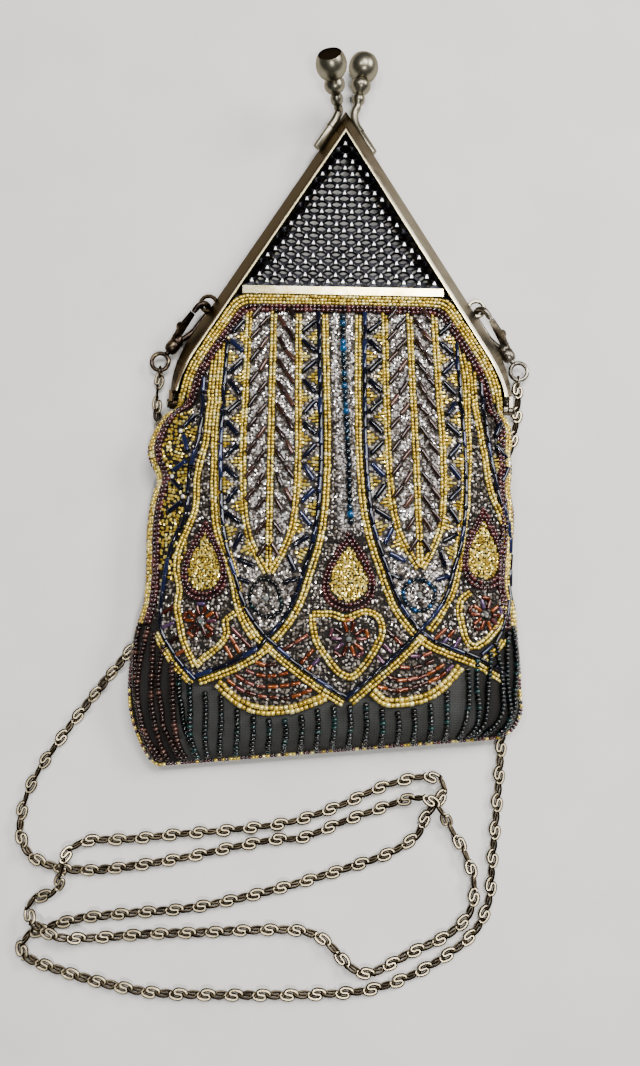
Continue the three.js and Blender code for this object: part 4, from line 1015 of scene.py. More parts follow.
def sew_lower_band():
    """Shields with their flowers, then the bars between them, then the fans."""
    for name, outline in SHIELDS.items():
        gold_lines("gold_shield_beads", outline, 2)
        centre, size = FLOWERS[name]
        flower(np.array(centre), size)
        crystals.append((centre, FLOWER_CRYSTAL))
    for high, low in np.array(BARS):
        length = np.linalg.norm(low - high)
        count = 2 if length > LONG_BAR else 1
        share = (np.arange(count) + 0.5) / count
        place = high + (low - high) * share[:, None]
        heading = np.broadcast_to(unit(low - high), place.shape)
        sew("rust_bugles", place, heading, length / count - BAR_GAP, RUST_WIDTH)
    for number, arc in enumerate(FANS):
        if number in FAN_EDGES:
            for k in range(2):
                edge = beside(arc, FAN_THREADS["first"] - FAN_THREADS["gap"] * k)
                strand("gold_shield_beads", edge, FAN_EDGE_BEAD, is_smooth=False)
        else:
            strand("rust_bugles", arc, ARC_BUGLE)


# The skirt: dark fabric with columns of near-black beads

# Upper edge of the skirt across the bag
SKIRT_TOP = np.array([(-80, -24), (-71, -28), (-67.9, -31), (-61.4, -42), (-52.9, -51.2), (-45.6, -51),
                      (-36.7, -58), (-29.1, -60.8), (-18.8, -60.6), (-11.2, -58.6), (-3.7, -55.4),
                      (3.9, -55), (13.7, -53.6), (19.2, -56.8), (26.4, -56.7), (34, -55), (38.9, -52),
                      (43.8, -47.4), (47.2, -42.6), (52.6, -37.9), (59, -33), (65.7, -25.9), (72, -22)])
# Columns of beads down the skirt: closer together in the gathers at both sides
COLUMNS = np.concatenate([np.arange(-77, -57, 3.6), np.arange(-56, 47, 6.15), np.arange(50, 71, 3.9)])
# A column starts this far under the edge, leans in by a share of x, and ends this far over the bottom seam
COLUMN = {"under_edge": 0.5, "foot_share": 0.92, "over_foot": 1.6, "points": 9}
# Columns follow the side seams more and more from this far off the middle, within these shares of the width
GATHER_FROM, GATHER_OVER, GATHER_SHARES = 45, 15, (0.015, 0.985)
# How far columns wave to and fro: everywhere, and in the gathers besides
BOW, GATHER_BOW = 0.4, 0.5
# The x beyond which the cloth is gathered
GATHERED = (-60, 55)


def skirt_foot(x):
    """The bottom seam's height at x."""
    return np.interp(x, SECTIONS[0, [0, 2]], SECTIONS[0, [1, 3]])


def side_seams(y):
    """The side seams' x at plan heights."""
    return np.interp(y, sections[:, 1], sections[:, 0]), np.interp(y, sections[:, 3], sections[:, 2])


def sew_skirt():
    """Each column falls from the skirt's upper edge to the bottom seam: straight in the middle, and in the
    gathers at both sides bowed with the side seam."""
    for x in COLUMNS:
        top = np.interp(x, *SKIRT_TOP.T) - COLUMN["under_edge"]
        y = np.linspace(top, skirt_foot(x * COLUMN["foot_share"]) + COLUMN["over_foot"], COLUMN["points"])
        left, right = side_seams(y)
        share = (x - left[0]) / (right[0] - left[0])
        gathered = np.clip((abs(x) - GATHER_FROM) / GATHER_OVER, 0, 1)
        bow = (BOW + GATHER_BOW * gathered) * np.sin(np.linspace(0, 1.5 * np.pi, len(y)) + x)
        along_seam = left + np.clip(share, *GATHER_SHARES) * (right - left)
        lot = "smoke_brown_beads" if x < GATHERED[0] else "hematite_beads"
        strand(lot, np.stack([x + (along_seam - x) * gathered + bow, y], axis=1), COLUMN_BEAD)


# Seams: small mixed beads along the bottom and the sides

SEAM_BEAD = {"length": 1.35, "width": 1.4}
SEAM_START, SEAM_STEP, GOLD_SHARE = 0.9, 1.45, 0.4
# The sections between which the sides have beads, and the share of the bottom's width that has them
SEAM_ENDS, BOTTOM_SHARE = (HINGE_SECTION - 0.4, 0.15), 0.985
# Shares of outwards and up in the way that they face
SEAM_OUT, SEAM_UP = 0.8, 0.5


def sew_seams():
    """Beads at equal steps down the left seam, along the bottom and up the right seam, leaning outwards."""
    t = np.linspace(*SEAM_ENDS, 90)
    across = np.linspace(-BOTTOM_SHARE, BOTTOM_SHARE, 60)
    left = front_points(np.full(len(t), -SEAM_SHARE), t)
    bottom = front_points(across, np.zeros(len(across)))
    right = front_points(np.full(len(t), SEAM_SHARE), t[::-1])
    path = np.vstack([left, bottom, right])
    run = distances(path)
    place = points_at(np.arange(SEAM_START, run[-1], SEAM_STEP), run, path)
    along = unit(np.gradient(place, axis=0))
    normal = unit(np.cross(along, UP) * SEAM_OUT + UP * SEAM_UP)
    normal = unit(normal - along * np.sum(normal * along, axis=1, keepdims=True))
    is_gold = chance.uniform(size=len(place)) < GOLD_SHARE
    for lot, held in (("gold_seam_beads", is_gold), ("oxblood_beads", ~is_gold)):
        gather(lot, place[held], along[held], normal[held], **SEAM_BEAD)


# The ground: small beads strewn over what the threads leave bare

# Room kept from a lancet's gold lines and from its outline, and the strip's half width and lower end
LINE_ROOM, OUTLINE_ROOM, STRIP_HALF, STRIP_LOW = 1.6, 1.2, 4.6, 10
# Spacings of the strewn beads, and the left side's right edge and lower end
SPACING = {"lancet": 1.02, "zigzag": 1.1, "side": 1.5, "smoke": 1.22}
SIDE_X, SIDE_LOW = -59, -10
# Room kept from the skirt's edge and from the side seams
SKIRT_ROOM, SEAM_ROOM = 3.5, 3


def across_lancets(xy):
    """For each lancet: how far plan places lie off its axis, and half widths of inner lines and outline."""
    x, y = xy.T
    for lancet in LANCETS.values():
        yield np.abs(x - lancet_axis(lancet, y)), half_width(lancet, INNER, y), half_width(lancet, OUTLINE, y)


def is_silver(xy):
    """Inside a lancet's inner lines or the strip between the lancets, and clear of the border."""
    strip_x, strip_y = np.array(STRIP_LINE)[::-1].T
    off_strip = np.abs(xy[:, 0] - np.interp(xy[:, 1], strip_y, strip_x))
    inside = (off_strip < STRIP_HALF) & (xy[:, 1] > STRIP_LOW)
    for off_axis, inner, _ in across_lancets(xy):
        inside |= (off_axis < inner - LINE_ROOM) & (off_axis > LINE_ROOM)
    return inside & clear_of_border(xy)


def is_zigzag_ground(xy):
    """Between a lancet's inner lines and its outline."""
    inside = np.zeros(len(xy), bool)
    for off_axis, inner, outline in across_lancets(xy):
        inside |= (off_axis > inner + LINE_ROOM) & (off_axis < outline - OUTLINE_ROOM)
    return inside & clear_of_border(xy)


def plan_cell(xy):
    """Row and column of plan places in the height map."""
    i = np.clip(np.round((xy[:, 0] - map_x[0]) / MAP_STEP), 0, len(map_x) - 1).astype(int)
    return i, np.clip(np.round((xy[:, 1] - map_y[0]) / MAP_STEP), 0, len(map_y) - 1).astype(int)


def covered():
    """Plan grid of where beads lie: each is marked along its thread, and marks are spread by half a mm."""
    taken = np.zeros(front_height.shape, bool)
    share = np.linspace(-0.5, 0.5, 9)[:, None, None]
    for parts in lots.values():
        for centre, along, _, length, _ in parts:
            taken[plan_cell((centre + share * along * length[:, None]).reshape(-1, 3))] = True
    for axis in (0, 1):
        taken |= np.roll(taken, 1, axis) | np.roll(taken, -1, axis)
    return taken


def is_above_skirt(xy):
    """Between the side seams, above the skirt and clear of the border."""
    left, right = side_seams(xy[:, 1])
    above = xy[:, 1] > np.interp(xy[:, 0], *SKIRT_TOP.T) + SKIRT_ROOM
    return (xy[:, 0] > left + SEAM_ROOM) & (xy[:, 0] < right - SEAM_ROOM) & above & clear_of_border(xy)


def is_side(xy):
    """At the left side, above the lower band."""
    return (xy[:, 0] < SIDE_X) & (xy[:, 1] > SIDE_LOW)


def is_elsewhere(xy):
    """Above the skirt, outside the left side, the lancets' inner lines and the strip."""
    return is_above_skirt(xy) & ~is_side(xy) & ~is_silver(xy)


def sew_ground():
    """Clear beads in the lancets and the middle strip, gold at the left side, and smoky ones elsewhere."""
    taken = covered()

    def is_free(xy):
        """Where no thread has laid a bead."""
        return ~taken[plan_cell(xy)]

    box = (map_x[0], map_y[0]), (map_x[-1], map_y[-1])
    scatter("silver_fill_beads", box, SPACING["lancet"], SILVER_FILL, lambda xy: is_silver(xy) & is_free(xy))
    scatter("silver_fill_beads", box, SPACING["zigzag"], SILVER_FILL,
            lambda xy: is_zigzag_ground(xy) & is_free(xy))
    scatter("gold_fill_beads", box, SPACING["side"], SIDE_FILL,
            lambda xy: is_above_skirt(xy) & is_side(xy) & is_free(xy))
    scatter("smoke_fill_beads", box, SPACING["smoke"], SMOKE_FILL, lambda xy: is_elsewhere(xy) & is_free(xy))


# Making the beadwork

ROUND_BEAD = turned([(-0.5, 0.26), (-0.3, 0.45), (0, 0.5), (0.3, 0.45), (0.5, 0.26)], 8)
CUT_BEAD = turned([(-0.5, 0.36), (-0.4, 0.5), (0.4, 0.5), (0.5, 0.36)], 6)
TINY_BEAD = turned([(-0.5, 0.34), (0, 0.5), (0.5, 0.34)], 5)
BUGLE_BEAD = turned([(-0.5, 0.36), (-0.485, 0.48), (-0.45, 0.5), (0.45, 0.5), (0.485, 0.48), (0.5, 0.36)], 8)
# A crystal's profile: places and radii of its back, of its girdle's two edges and of its table
STONE = [(-0.5, 0.7), (0.0, 1.0), (0.12, 1.0), (0.55, 0.55)]
# How far it stands off the cloth: in mm, and as a share of its radius
STONE_SEAT, STONE_RAISED = 0.8, 0.3
# Each lot's bead and its glass
LOTS = {
    **{f"gold_{place}_beads": (CUT_BEAD, "silver_lined_gold_glass")
       for place in ("border", "lancet", "stripe", "shield", "seam")},
    "gold_fill_beads": (TINY_BEAD, "silver_lined_gold_glass"),
    "oxblood_beads": (ROUND_BEAD, "oxblood_glass"),
    "blue_black_bugles": (BUGLE_BEAD, "blue_black_bugle_glass"),
    "brown_bugles": (BUGLE_BEAD, "brown_bugle_glass"),
    "rust_bugles": (BUGLE_BEAD, "rust_lustre_glass"),
    "silver_fill_beads": (TINY_BEAD, "silver_lined_clear_glass"),
    "silver_point_beads": (ROUND_BEAD, "silver_lined_clear_glass"),
    "smoke_fill_beads": (TINY_BEAD, "smoke_glass"),
    "smoke_brown_beads": (ROUND_BEAD, "brown_bugle_glass"),
    "peacock_beads": (ROUND_BEAD, "peacock_glass"),
    "hematite_beads": (ROUND_BEAD, "hematite_glass"),
}


def make_beadwork():
    """One piece for each lot: its beads are copies of one form, rolled about their threads at random. All
    but the tiny ones are shaded round."""
    glass = {name: glass_material(name) for name in GLASS}
    for lot, (bead, glass_name) in LOTS.items():
        centre, along, normal, length, width = (np.concatenate(part) for part in zip(*lots[lot]))
        across = np.cross(normal, along)
        roll = chance.uniform(0, np.pi / 3, len(centre))[:, None]
        y_axis = across * np.cos(roll) + normal * np.sin(roll)
        z_axis = normal * np.cos(roll) - across * np.sin(roll)
        long, wide = length[:, None], width[:, None]
        form = copies(bead, centre, along * long, y_axis * wide, z_axis * wide)
        tint = np.repeat(chance.uniform(0, 1, len(centre)), len(bead[0]))
        piece = mesh_piece(lot, *form, glass[glass_name], bead is not TINY_BEAD, tint)
        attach(piece, "bag")


def make_crystals():
    """Eight-sided cut stones on the front."""
    stone = turned(STONE, 8)
    xy, radius = (np.array(part) for part in zip(*crystals))
    radius = radius[:, None]
    points, normals = on_front(xy)
    side = unit(np.cross(np.array([0.0, 1.0, 0.0]), normals))
    origin = points + normals * (STONE_SEAT + radius * STONE_RAISED)
    form = copies(stone, origin, normals * radius, side * radius, np.cross(normals, side) * radius)
    piece = mesh_piece("crystals", *form, crystal_material(), tint=chance.uniform(0, 1, len(form[0])))
    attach(piece, "bag")


# The cloth itself

SHELL_COLUMNS, SHELL_ROWS = 72, 150
CLOTH_THICKNESS = 1.5
# Tints of the ground: in the lancets, under the zigzags, on the skirt and its gathers, and on the back
GROUND_TINTS = {"silver": 0.92, "zigzag": 0.86, "skirt": 0.55, "gathers": 0.1, "back": 0.3}


def make_shell():
    """The pouch's cloth: front and back grids that share the side and bottom seams, thickened inwards."""
    s = np.sin(np.linspace(-np.pi / 2, np.pi / 2, SHELL_COLUMNS + 1))
    t = np.linspace(0, 1, SHELL_ROWS + 1) ** 1.15 * TOP
    grid_t, grid_s = np.meshgrid(t, s, indexing="ij")
    front, back = front_points(grid_s, grid_t), back_points(grid_s, grid_t)
    is_open = t > HINGE_SECTION
    sewn = np.zeros(grid_s.shape, bool)
    sewn[0] = True
    sewn[~is_open, 0] = sewn[~is_open, -1] = True
    size = grid_s.size
    numbers = np.arange(size).reshape(grid_s.shape)
    back_numbers = np.where(sewn, numbers, numbers + size)
    faces = grid_faces(*grid_s.shape)
    back_faces = back_numbers.ravel()[faces][:, ::-1]
    points = np.vstack([front.reshape(-1, 3), back.reshape(-1, 3)])
    plan = points[:size, :2]
    is_skirt = plan[:, 1] < np.interp(plan[:, 0], *SKIRT_TOP.T) + 1
    is_gathered = (plan[:, 0] < GATHERED[0]) | (plan[:, 0] > GATHERED[1])
    shade = GROUND_TINTS["silver"] * is_silver(plan) + GROUND_TINTS["zigzag"] * is_zigzag_ground(plan)
    shade = shade + is_skirt * np.where(is_gathered, GROUND_TINTS["gathers"], GROUND_TINTS["skirt"])
    used = np.unique(np.concatenate([faces.ravel(), back_faces.ravel()]))
    renumber = np.zeros(len(points), int)
    renumber[used] = np.arange(len(used))
    tint = np.concatenate([shade, np.full(size, GROUND_TINTS["back"])])[used]
    face_sets = [renumber[faces], renumber[back_faces]]
    piece = mesh_piece("pouch_cloth", points[used], face_sets, cloth_material(), True, tint)
    wall = piece.modifiers.new("wall", "SOLIDIFY")
    wall.thickness, wall.offset = CLOTH_THICKNESS * MM, -1
    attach(piece, "bag")
    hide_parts("pouch")


# Pierced panels: a diamond net with lens-shaped gaps and a raised stud at each crossing

PANEL = {"apex_y": 184.2, "base_y": 113.7, "front_z": 12.0, "back_z": 4.0}
NET = {"pitch": 6.3, "row": 2.82, "gap_width": 4.3, "gap_height": 3.2, "sheet": 0.7}
# Heights of the net's wires over the sheet at their crossings, between them and on a gap's brim; the brim's
# size over the gap's, the gap's chamfer, the margins of brim and gap inside the triangle, and the least gap
# that is cut
RELIEF = {"crossing": 0.3, "wire": 0.15, "brim": 0.28, "brim_size": 1.16, "chamfer": 0.1}
BRIM_MARGIN, GAP_MARGIN, LEAST_GAP = 0.5, 0.7, (1.6, 1.2)
# A stud: plan corners of its foot, share of its foot that its top has, height over the sheet, how far its
# foot is sunk, and the room that it needs from the rim
STUD_FOOT = np.array([(0, 1.35), (-1.05, -1.1), (1.05, -1.1)])
STUD_TOP, STUD_HEIGHT, STUD_SUNK, STUD_ROOM = 0.62, 0.75, 0.2, 2.2
GAP_CORNERS = 16
# Wear of the sheet and of the studs; the studs' full wear is partly a painted highlight
NET_WEAR, STUD_WEAR_AND_HIGHLIGHT = 0.12, 1.0


def net_rows():
    """How many rows of gaps fit the panel's height."""
    return int((PANEL["apex_y"] - PANEL["base_y"]) / NET["row"])


def net_places(rows, columns):
    """Row numbers, column numbers and heights of a net's places, row by row."""
    row, column = (m.ravel() for m in np.meshgrid(rows, columns, indexing="ij"))
    return row, column, PANEL["base_y"] + row * NET["row"]


def held_inside(points, margin):
    """Plan points kept inside the panel's triangle, by moving them level or up."""
    y = np.clip(points[..., 1], PANEL["base_y"] + margin, PANEL["apex_y"] - margin)
    wide = np.maximum((PANEL["apex_y"] - y) * RIM_SLOPE - margin, 0)
    return np.stack([np.clip(points[..., 0], -wide, wide), y], axis=-1)


def net_panel(level_z, facing):
    """Cells are diamonds that fill the triangle, each a ring between its own outline and a lens-shaped gap.
    The sheet's top is raised at the diamonds' left and right corners, where the wires cross."""
    row, column, y = net_places(np.arange(net_rows() + 2), np.arange(-9, 10))
    centre = np.stack([(column + 0.5 * (row % 2)) * NET["pitch"], y], axis=1)
    reach = (PANEL["apex_y"] - centre[:, 1]) * RIM_SLOPE
    centre = centre[np.abs(centre[:, 0]) < reach + NET["pitch"] / 2][:, None]
    angle = 2 * np.pi * np.arange(GAP_CORNERS) / GAP_CORNERS
    c, s = np.cos(angle), np.sin(angle)
    diamond = np.stack([c, s], axis=1) / (np.abs(c) + np.abs(s))[:, None] * (NET["pitch"] / 2, NET["row"])
    pointed = np.sign(c) * np.abs(c) ** 1.25
    lens = np.stack([pointed * NET["gap_width"] / 2, s * NET["gap_height"] / 2], axis=1)
    outer = held_inside(centre + diamond, 0)
    brim = held_inside(centre + lens * RELIEF["brim_size"], BRIM_MARGIN)
    gap = held_inside(centre + lens, GAP_MARGIN)
    is_cut = (np.ptp(gap, axis=1) > LEAST_GAP).all(axis=1)
    crossing = np.abs(c) ** 6
    top = level_z + facing * NET["sheet"]
    wires = top + facing * (RELIEF["crossing"] * crossing + RELIEF["wire"] * (1 - crossing))
    rings = [(outer, level_z), (gap, level_z), (gap, top - facing * RELIEF["chamfer"]),
             (brim, top + facing * RELIEF["brim"]), (outer, wires)]
    cells = np.stack([np.dstack([xy, np.broadcast_to(z, xy.shape[:2])]) for xy, z in rings], axis=1)
    per_cell = len(rings) * GAP_CORNERS
    shift = (np.flatnonzero(is_cut) * per_cell)[:, None, None]
    open_faces = (grid_faces(len(rings), GAP_CORNERS, closed=True)[None] + shift).reshape(-1, 4)
    solid = np.flatnonzero(~is_cut)[:, None] * per_cell
    lid = solid + per_cell - GAP_CORNERS + np.arange(GAP_CORNERS)
    floor = solid + np.arange(GAP_CORNERS)[::-1]
    face_sets = [open_faces, np.vstack([lid, floor])]
    return cells.reshape(-1, 3), [faces[:, ::facing] for faces in face_sets]


def net_studs(level_z, facing):
    """Three-sided studs on the net, each midway between two gaps of a row, with its point up."""
    row, column, y = net_places(np.arange(1, net_rows()), np.arange(-10, 10))
    x = (column + 0.5 + 0.5 * (row % 2)) * NET["pitch"]
    kept = np.abs(x) < (PANEL["apex_y"] - y) * RIM_SLOPE - STUD_ROOM
    foot = level_z + facing * (NET["sheet"] - STUD_SUNK)
    origin = np.stack([x[kept], y[kept], np.full(kept.sum(), foot)], axis=1)
    stud = np.vstack([np.column_stack([STUD_FOOT * share, np.full(3, height)])
                      for share, height in ((1, 0), (STUD_TOP, STUD_HEIGHT))])
    axes = [np.broadcast_to(axis, origin.shape) for axis in np.diag([1.0, 1.0, facing])]
    return copies((stud, [grid_faces(2, 3, closed=True), np.array([[2, 1, 0], [3, 4, 5]])]), origin, *axes)


def make_panels(gunmetal):
    """The front and back panels, dark nets with bright studs that carry a painted highlight."""
    for name, level, facing in (("front", PANEL["front_z"], 1), ("back", PANEL["back_z"], -1)):
        net, studs = net_panel(level, facing), net_studs(level, facing)
        # the studs' full wear is partly a painted highlight
        wear = np.concatenate([np.full(len(net[0]), NET_WEAR), np.full(len(studs[0]), STUD_WEAR_AND_HIGHLIGHT)])
        piece = mesh_piece(f"{name}_openwork", *joined(net, studs), gunmetal, tint=wear)
        tidy_mesh(piece)
        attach(piece, "bag")
        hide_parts(f"{name}_grille")


# Knobs: a strap on the frame's wall, a bent stem and a turned knob

# Places along a knob's axis and radii: stem, collar, bead and cup, then its sunk cap
KNOB_PROFILE = [(0, 0.01), (0, 1.6), (1.6, 1.6), (2.2, 2), (2.9, 2.55), (4.2, 2.8), (5.4, 2.55), (6.1, 2.1),
                (6.6, 1.9), (7.2, 2.4), (8.2, 3.5), (9.2, 4.15), (10.4, 4.4), (11.6, 4.2), (12.6, 3.6),
                (13.4, 2.9), (13.9, 3.6), (14.8, 4.8), (16, 5.7), (17.4, 6.25), (19, 6.5), (20.6, 6.35),
                (22.2, 5.9), (23.4, 5.2), (23.8, 4.9)]
KNOB_CAP = [(23.75, 4.7), (23.5, 4.6), (23.5, 0.01)]
KNOB_SIDES, STEM_SIDES, KNOB_WEAR, KNOB_SHARP = 40, 20, 0.7, np.radians(40)
# Angles of the frame's arms in plan and of its walls, and the peak of its outer edge
ARM_ANGLE, WALL_ANGLE = np.arctan(RIM_SLOPE), np.arctan2(WALL_OUT, FRAME_DEPTH / 2)
APEX = np.array([0, RIM_PEAK + WALL_OUT / np.sin(ARM_ANGLE), FRAME_DEPTH / 2])
KNOBS = {
    "front_knob": {"side": -1, "base": (-3.4, 195.2, 12.2), "lean": -10, "rise": 63, "level": 1},
    "back_knob": {"side": 1, "base": (4.8, 198.7, 6.9), "lean": 7.5, "rise": 1.5, "level": -1},
}
STRAP = {"start": 5.5, "length": 16.5, "width": 2.8, "thickness": 3.2, "edge": -0.5, "gap": 0.3}
STEM = {"radius": 1.8, "in_strap": 1.5, "sunk": 4.0, "in_knob": 0.6, "reach": 3.5, "bend": 0.4}


def bar(start, end, width_axis, thick_axis):
    """A straight bar with a rounded oblong section: half axes times cosine and sine to the power 0.6."""
    angle = 2 * np.pi * np.arange(STEM_SIDES) / STEM_SIDES
    c, s = (np.sign(wave) * np.abs(wave) ** 0.6 for wave in (np.cos(angle), np.sin(angle)))
    ring = c[:, None] * width_axis + s[:, None] * thick_axis
    share = np.array([0, 0, 0.02, 0.98, 1, 1])[:, None, None]
    swell = np.array([0.02, 0.9, 1, 1, 0.9, 0.02])[:, None, None]
    return ringed(start + (end - start) * share + ring * swell)


def knob_form(side, base, lean, rise, level):
    """The turned knob on its axis, a stem that bends from the strap to it, and the strap along the frame's
    wall. Returns the form and its wear, low on the knob's cap."""
    base = np.array(base)
    turn, lift = np.radians(lean), np.radians(rise)
    axis = unit(np.array([np.sin(turn), np.cos(turn) * np.cos(lift), np.sin(lift)]))
    across = unit(np.cross(axis, UP))
    profile = turned(KNOB_PROFILE + KNOB_CAP, KNOB_SIDES)
    ball = set_down(profile, base, axis, across, np.cross(axis, across))
    down = np.array([side * np.sin(ARM_ANGLE), -np.cos(ARM_ANGLE), 0])
    out = np.array([side * np.cos(ARM_ANGLE), np.sin(ARM_ANGLE), 0])
    up_wall = level * np.cos(WALL_ANGLE) * UP - np.sin(WALL_ANGLE) * out
    off_wall = np.cos(WALL_ANGLE) * out + level * np.sin(WALL_ANGLE) * UP
    centre = APEX + down * (STRAP["start"] + STRAP["length"] / 2)
    centre = centre + up_wall * (STRAP["edge"] + STRAP["width"] / 2)
    centre = centre + off_wall * (STRAP["gap"] + STRAP["thickness"] / 2)
    half = down * STRAP["length"] / 2
    strap = bar(centre - half, centre + half, up_wall * STRAP["width"] / 2, off_wall * STRAP["thickness"] / 2)
    start = centre - half + down * STEM["in_strap"] + off_wall * (STEM["radius"] - STRAP["thickness"] / 2)
    bend = (start - down * STEM["reach"]) * (1 - STEM["bend"]) + base * STEM["bend"]
    path = smooth_path([start + down * STEM["sunk"], start, bend, base + axis * STEM["in_knob"]], 10)
    plane = unit(np.cross(bend - start, base - bend))
    form = joined(ball, tube(path, STEM["radius"], plane, STEM_SIDES), strap)
    wear = np.full(len(form[0]), KNOB_WEAR)
    wear[len(KNOB_PROFILE) * KNOB_SIDES:len(ball[0])] = 0
    return form, wear


def make_knobs(brass):
    """The front and back knobs with their stems and straps."""
    for name, row in KNOBS.items():
        form, wear = knob_form(**row)
        piece = mesh_piece(f"{name}_turned", *form, brass, smooth=True, tint=wear)
        tidy_mesh(piece)
        piece.data.set_sharp_from_angle(angle=KNOB_SHARP)
        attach(piece, "bag")
        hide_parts(name)


# Clips: a hook with its barrel, a sprung lever and a swivel eye

CLIPS = {
    "left": {"origin": (-56.64, 107.47, 7.15), "heading": (-0.62, -0.785), "sign": -1,
             "finish": "dark_antique_brass", "jump_ring": (-75.6, 79.3, 3)},
    "right": {"origin": (56.59, 107.44, 7.15), "heading": (0.571, -0.821), "sign": 1,
              "finish": "rubbed_brass", "jump_ring": (74.05, 78.2, 3)},
}
CLIP_DROP, CLIP_ROLL, CLIP_SHARP = 0.1, np.radians(30), np.radians(50)
HOOK_RADIUS, HOOK_WIRE, EYE_RADIUS, EYE_WIRE, EYE_CENTRE = 3.3, 1.3, 3.6, 0.9, 30.9
# Places along the clip and radii: the barrel with its hollow end, and the eye's post
BARREL = [(17.5, 0.01), (17.5, 1.7), (18.4, 2.2), (19.5, 2.8), (20.4, 2.8), (20.7, 2.5), (21, 2.8),
          (23.5, 2.8), (24.6, 2.5), (25.5, 1.9), (25.5, 1.3), (22.4, 1.25), (22.4, 0.01)]
POST = [(22.7, 0.01), (22.7, 1.0), (26.4, 1.0), (26.8, 1.5), (27.2, 1.0), (27.6, 0.8), (27.6, 0.01)]
# The hook's wire along its length: shares of the length, and of the wire's radius there
HOOK_TAPER = [0, 0.05, 0.4, 0.9, 1], [0.75, 0.95, 1, 1, 1]
# The small upright ring through each eye and the chain's end link
JUMP_RADIUS, JUMP_WIRE = 2.3, 0.42


def clip_axes(heading, sign):
    """The clip's axes: along it, across it towards the lever, and through it."""
    level = unit(np.array([*heading, 0.0]))
    along = unit(np.array([level[0], level[1], -CLIP_DROP]))
    sideways = unit(np.cross(UP, along)) * sign
    upright = np.cross(along, sideways) * sign
    across = upright * np.cos(CLIP_ROLL) + sideways * np.sin(CLIP_ROLL)
    return along, across, np.cross(along, across)


def hook_form():
    """The hook's bend is half a circle; its back arm runs into a turned barrel."""
    angle = np.radians(np.linspace(90, 270, 13))
    bend = np.stack([HOOK_RADIUS * (1 + np.cos(angle)), HOOK_RADIUS * np.sin(angle)], axis=1)
    path = np.vstack([[(6.3, HOOK_RADIUS), (4.8, HOOK_RADIUS)], bend,
                      [(4.8, -HOOK_RADIUS), (9, -HOOK_RADIUS), (12.6, -HOOK_RADIUS), (16.6, -2), (20, -0.4)]])
    dense = smooth_path(np.column_stack([path, np.zeros(len(path))]), 4)
    radius = HOOK_WIRE * np.interp(np.linspace(0, 1, len(dense)), *HOOK_TAPER)
    return joined(tube(dense, radius, UP, 14), turned(BARREL, 28))


def wire_ring(radius, wire, steps, sides):
    """A ring of round wire: the wire's circle carried round a larger circle."""
    angle = np.linspace(0, 2 * np.pi, steps + 1)[:-1, None]
    turn = np.linspace(0, 2 * np.pi, sides + 1)[None, :-1]
    reach = radius + wire * np.cos(turn)
    height = np.broadcast_to(wire * np.sin(turn), (steps, sides))
    points = np.stack([reach * np.cos(angle), reach * np.sin(angle), height], axis=2)
    return points.reshape(-1, 3), [grid_faces(steps, sides, closed=True, looped=True)]


def eye_form():
    """A ring and the post that turns in the barrel."""
    ring, faces = wire_ring(EYE_RADIUS, EYE_WIRE, 40, 12)
    return joined((ring + np.array([EYE_CENTRE, 0, 0]), faces), turned(POST, 16))


def make_clips(metals):
    """Both clips' hooks and swivel eyes, and the upright jump rings. The eyes lie level across the clip."""
    for side, row in CLIPS.items():
        along, across, through = clip_axes(row["heading"], row["sign"])
        flat = unit(np.cross(UP, along))
        forms = {
            "hook": set_down(hook_form(), row["origin"], along, across, through),
            "eye": set_down(eye_form(), row["origin"], along, flat, np.cross(along, flat)),
        }
        for name, form in forms.items():
            piece = mesh_piece(f"{side}_clip_{name}_cast", *form, metals[row["finish"]], smooth=True)
            tidy_mesh(piece)
            piece.data.set_sharp_from_angle(angle=CLIP_SHARP)
            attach(piece, "bag")
            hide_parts(f"{side}_clip_{name}")
        jump = set_down(wire_ring(JUMP_RADIUS, JUMP_WIRE, 24, 8), row["jump_ring"], (0, 1, 0), UP, (1, 0, 0))
        piece = mesh_piece(f"{side}_jump_ring", *jump, metals[row["finish"]], smooth=True)
        tidy_mesh(piece)
        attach(piece, "bag")


# The chain: scroll links, turned flat and leaning by turns

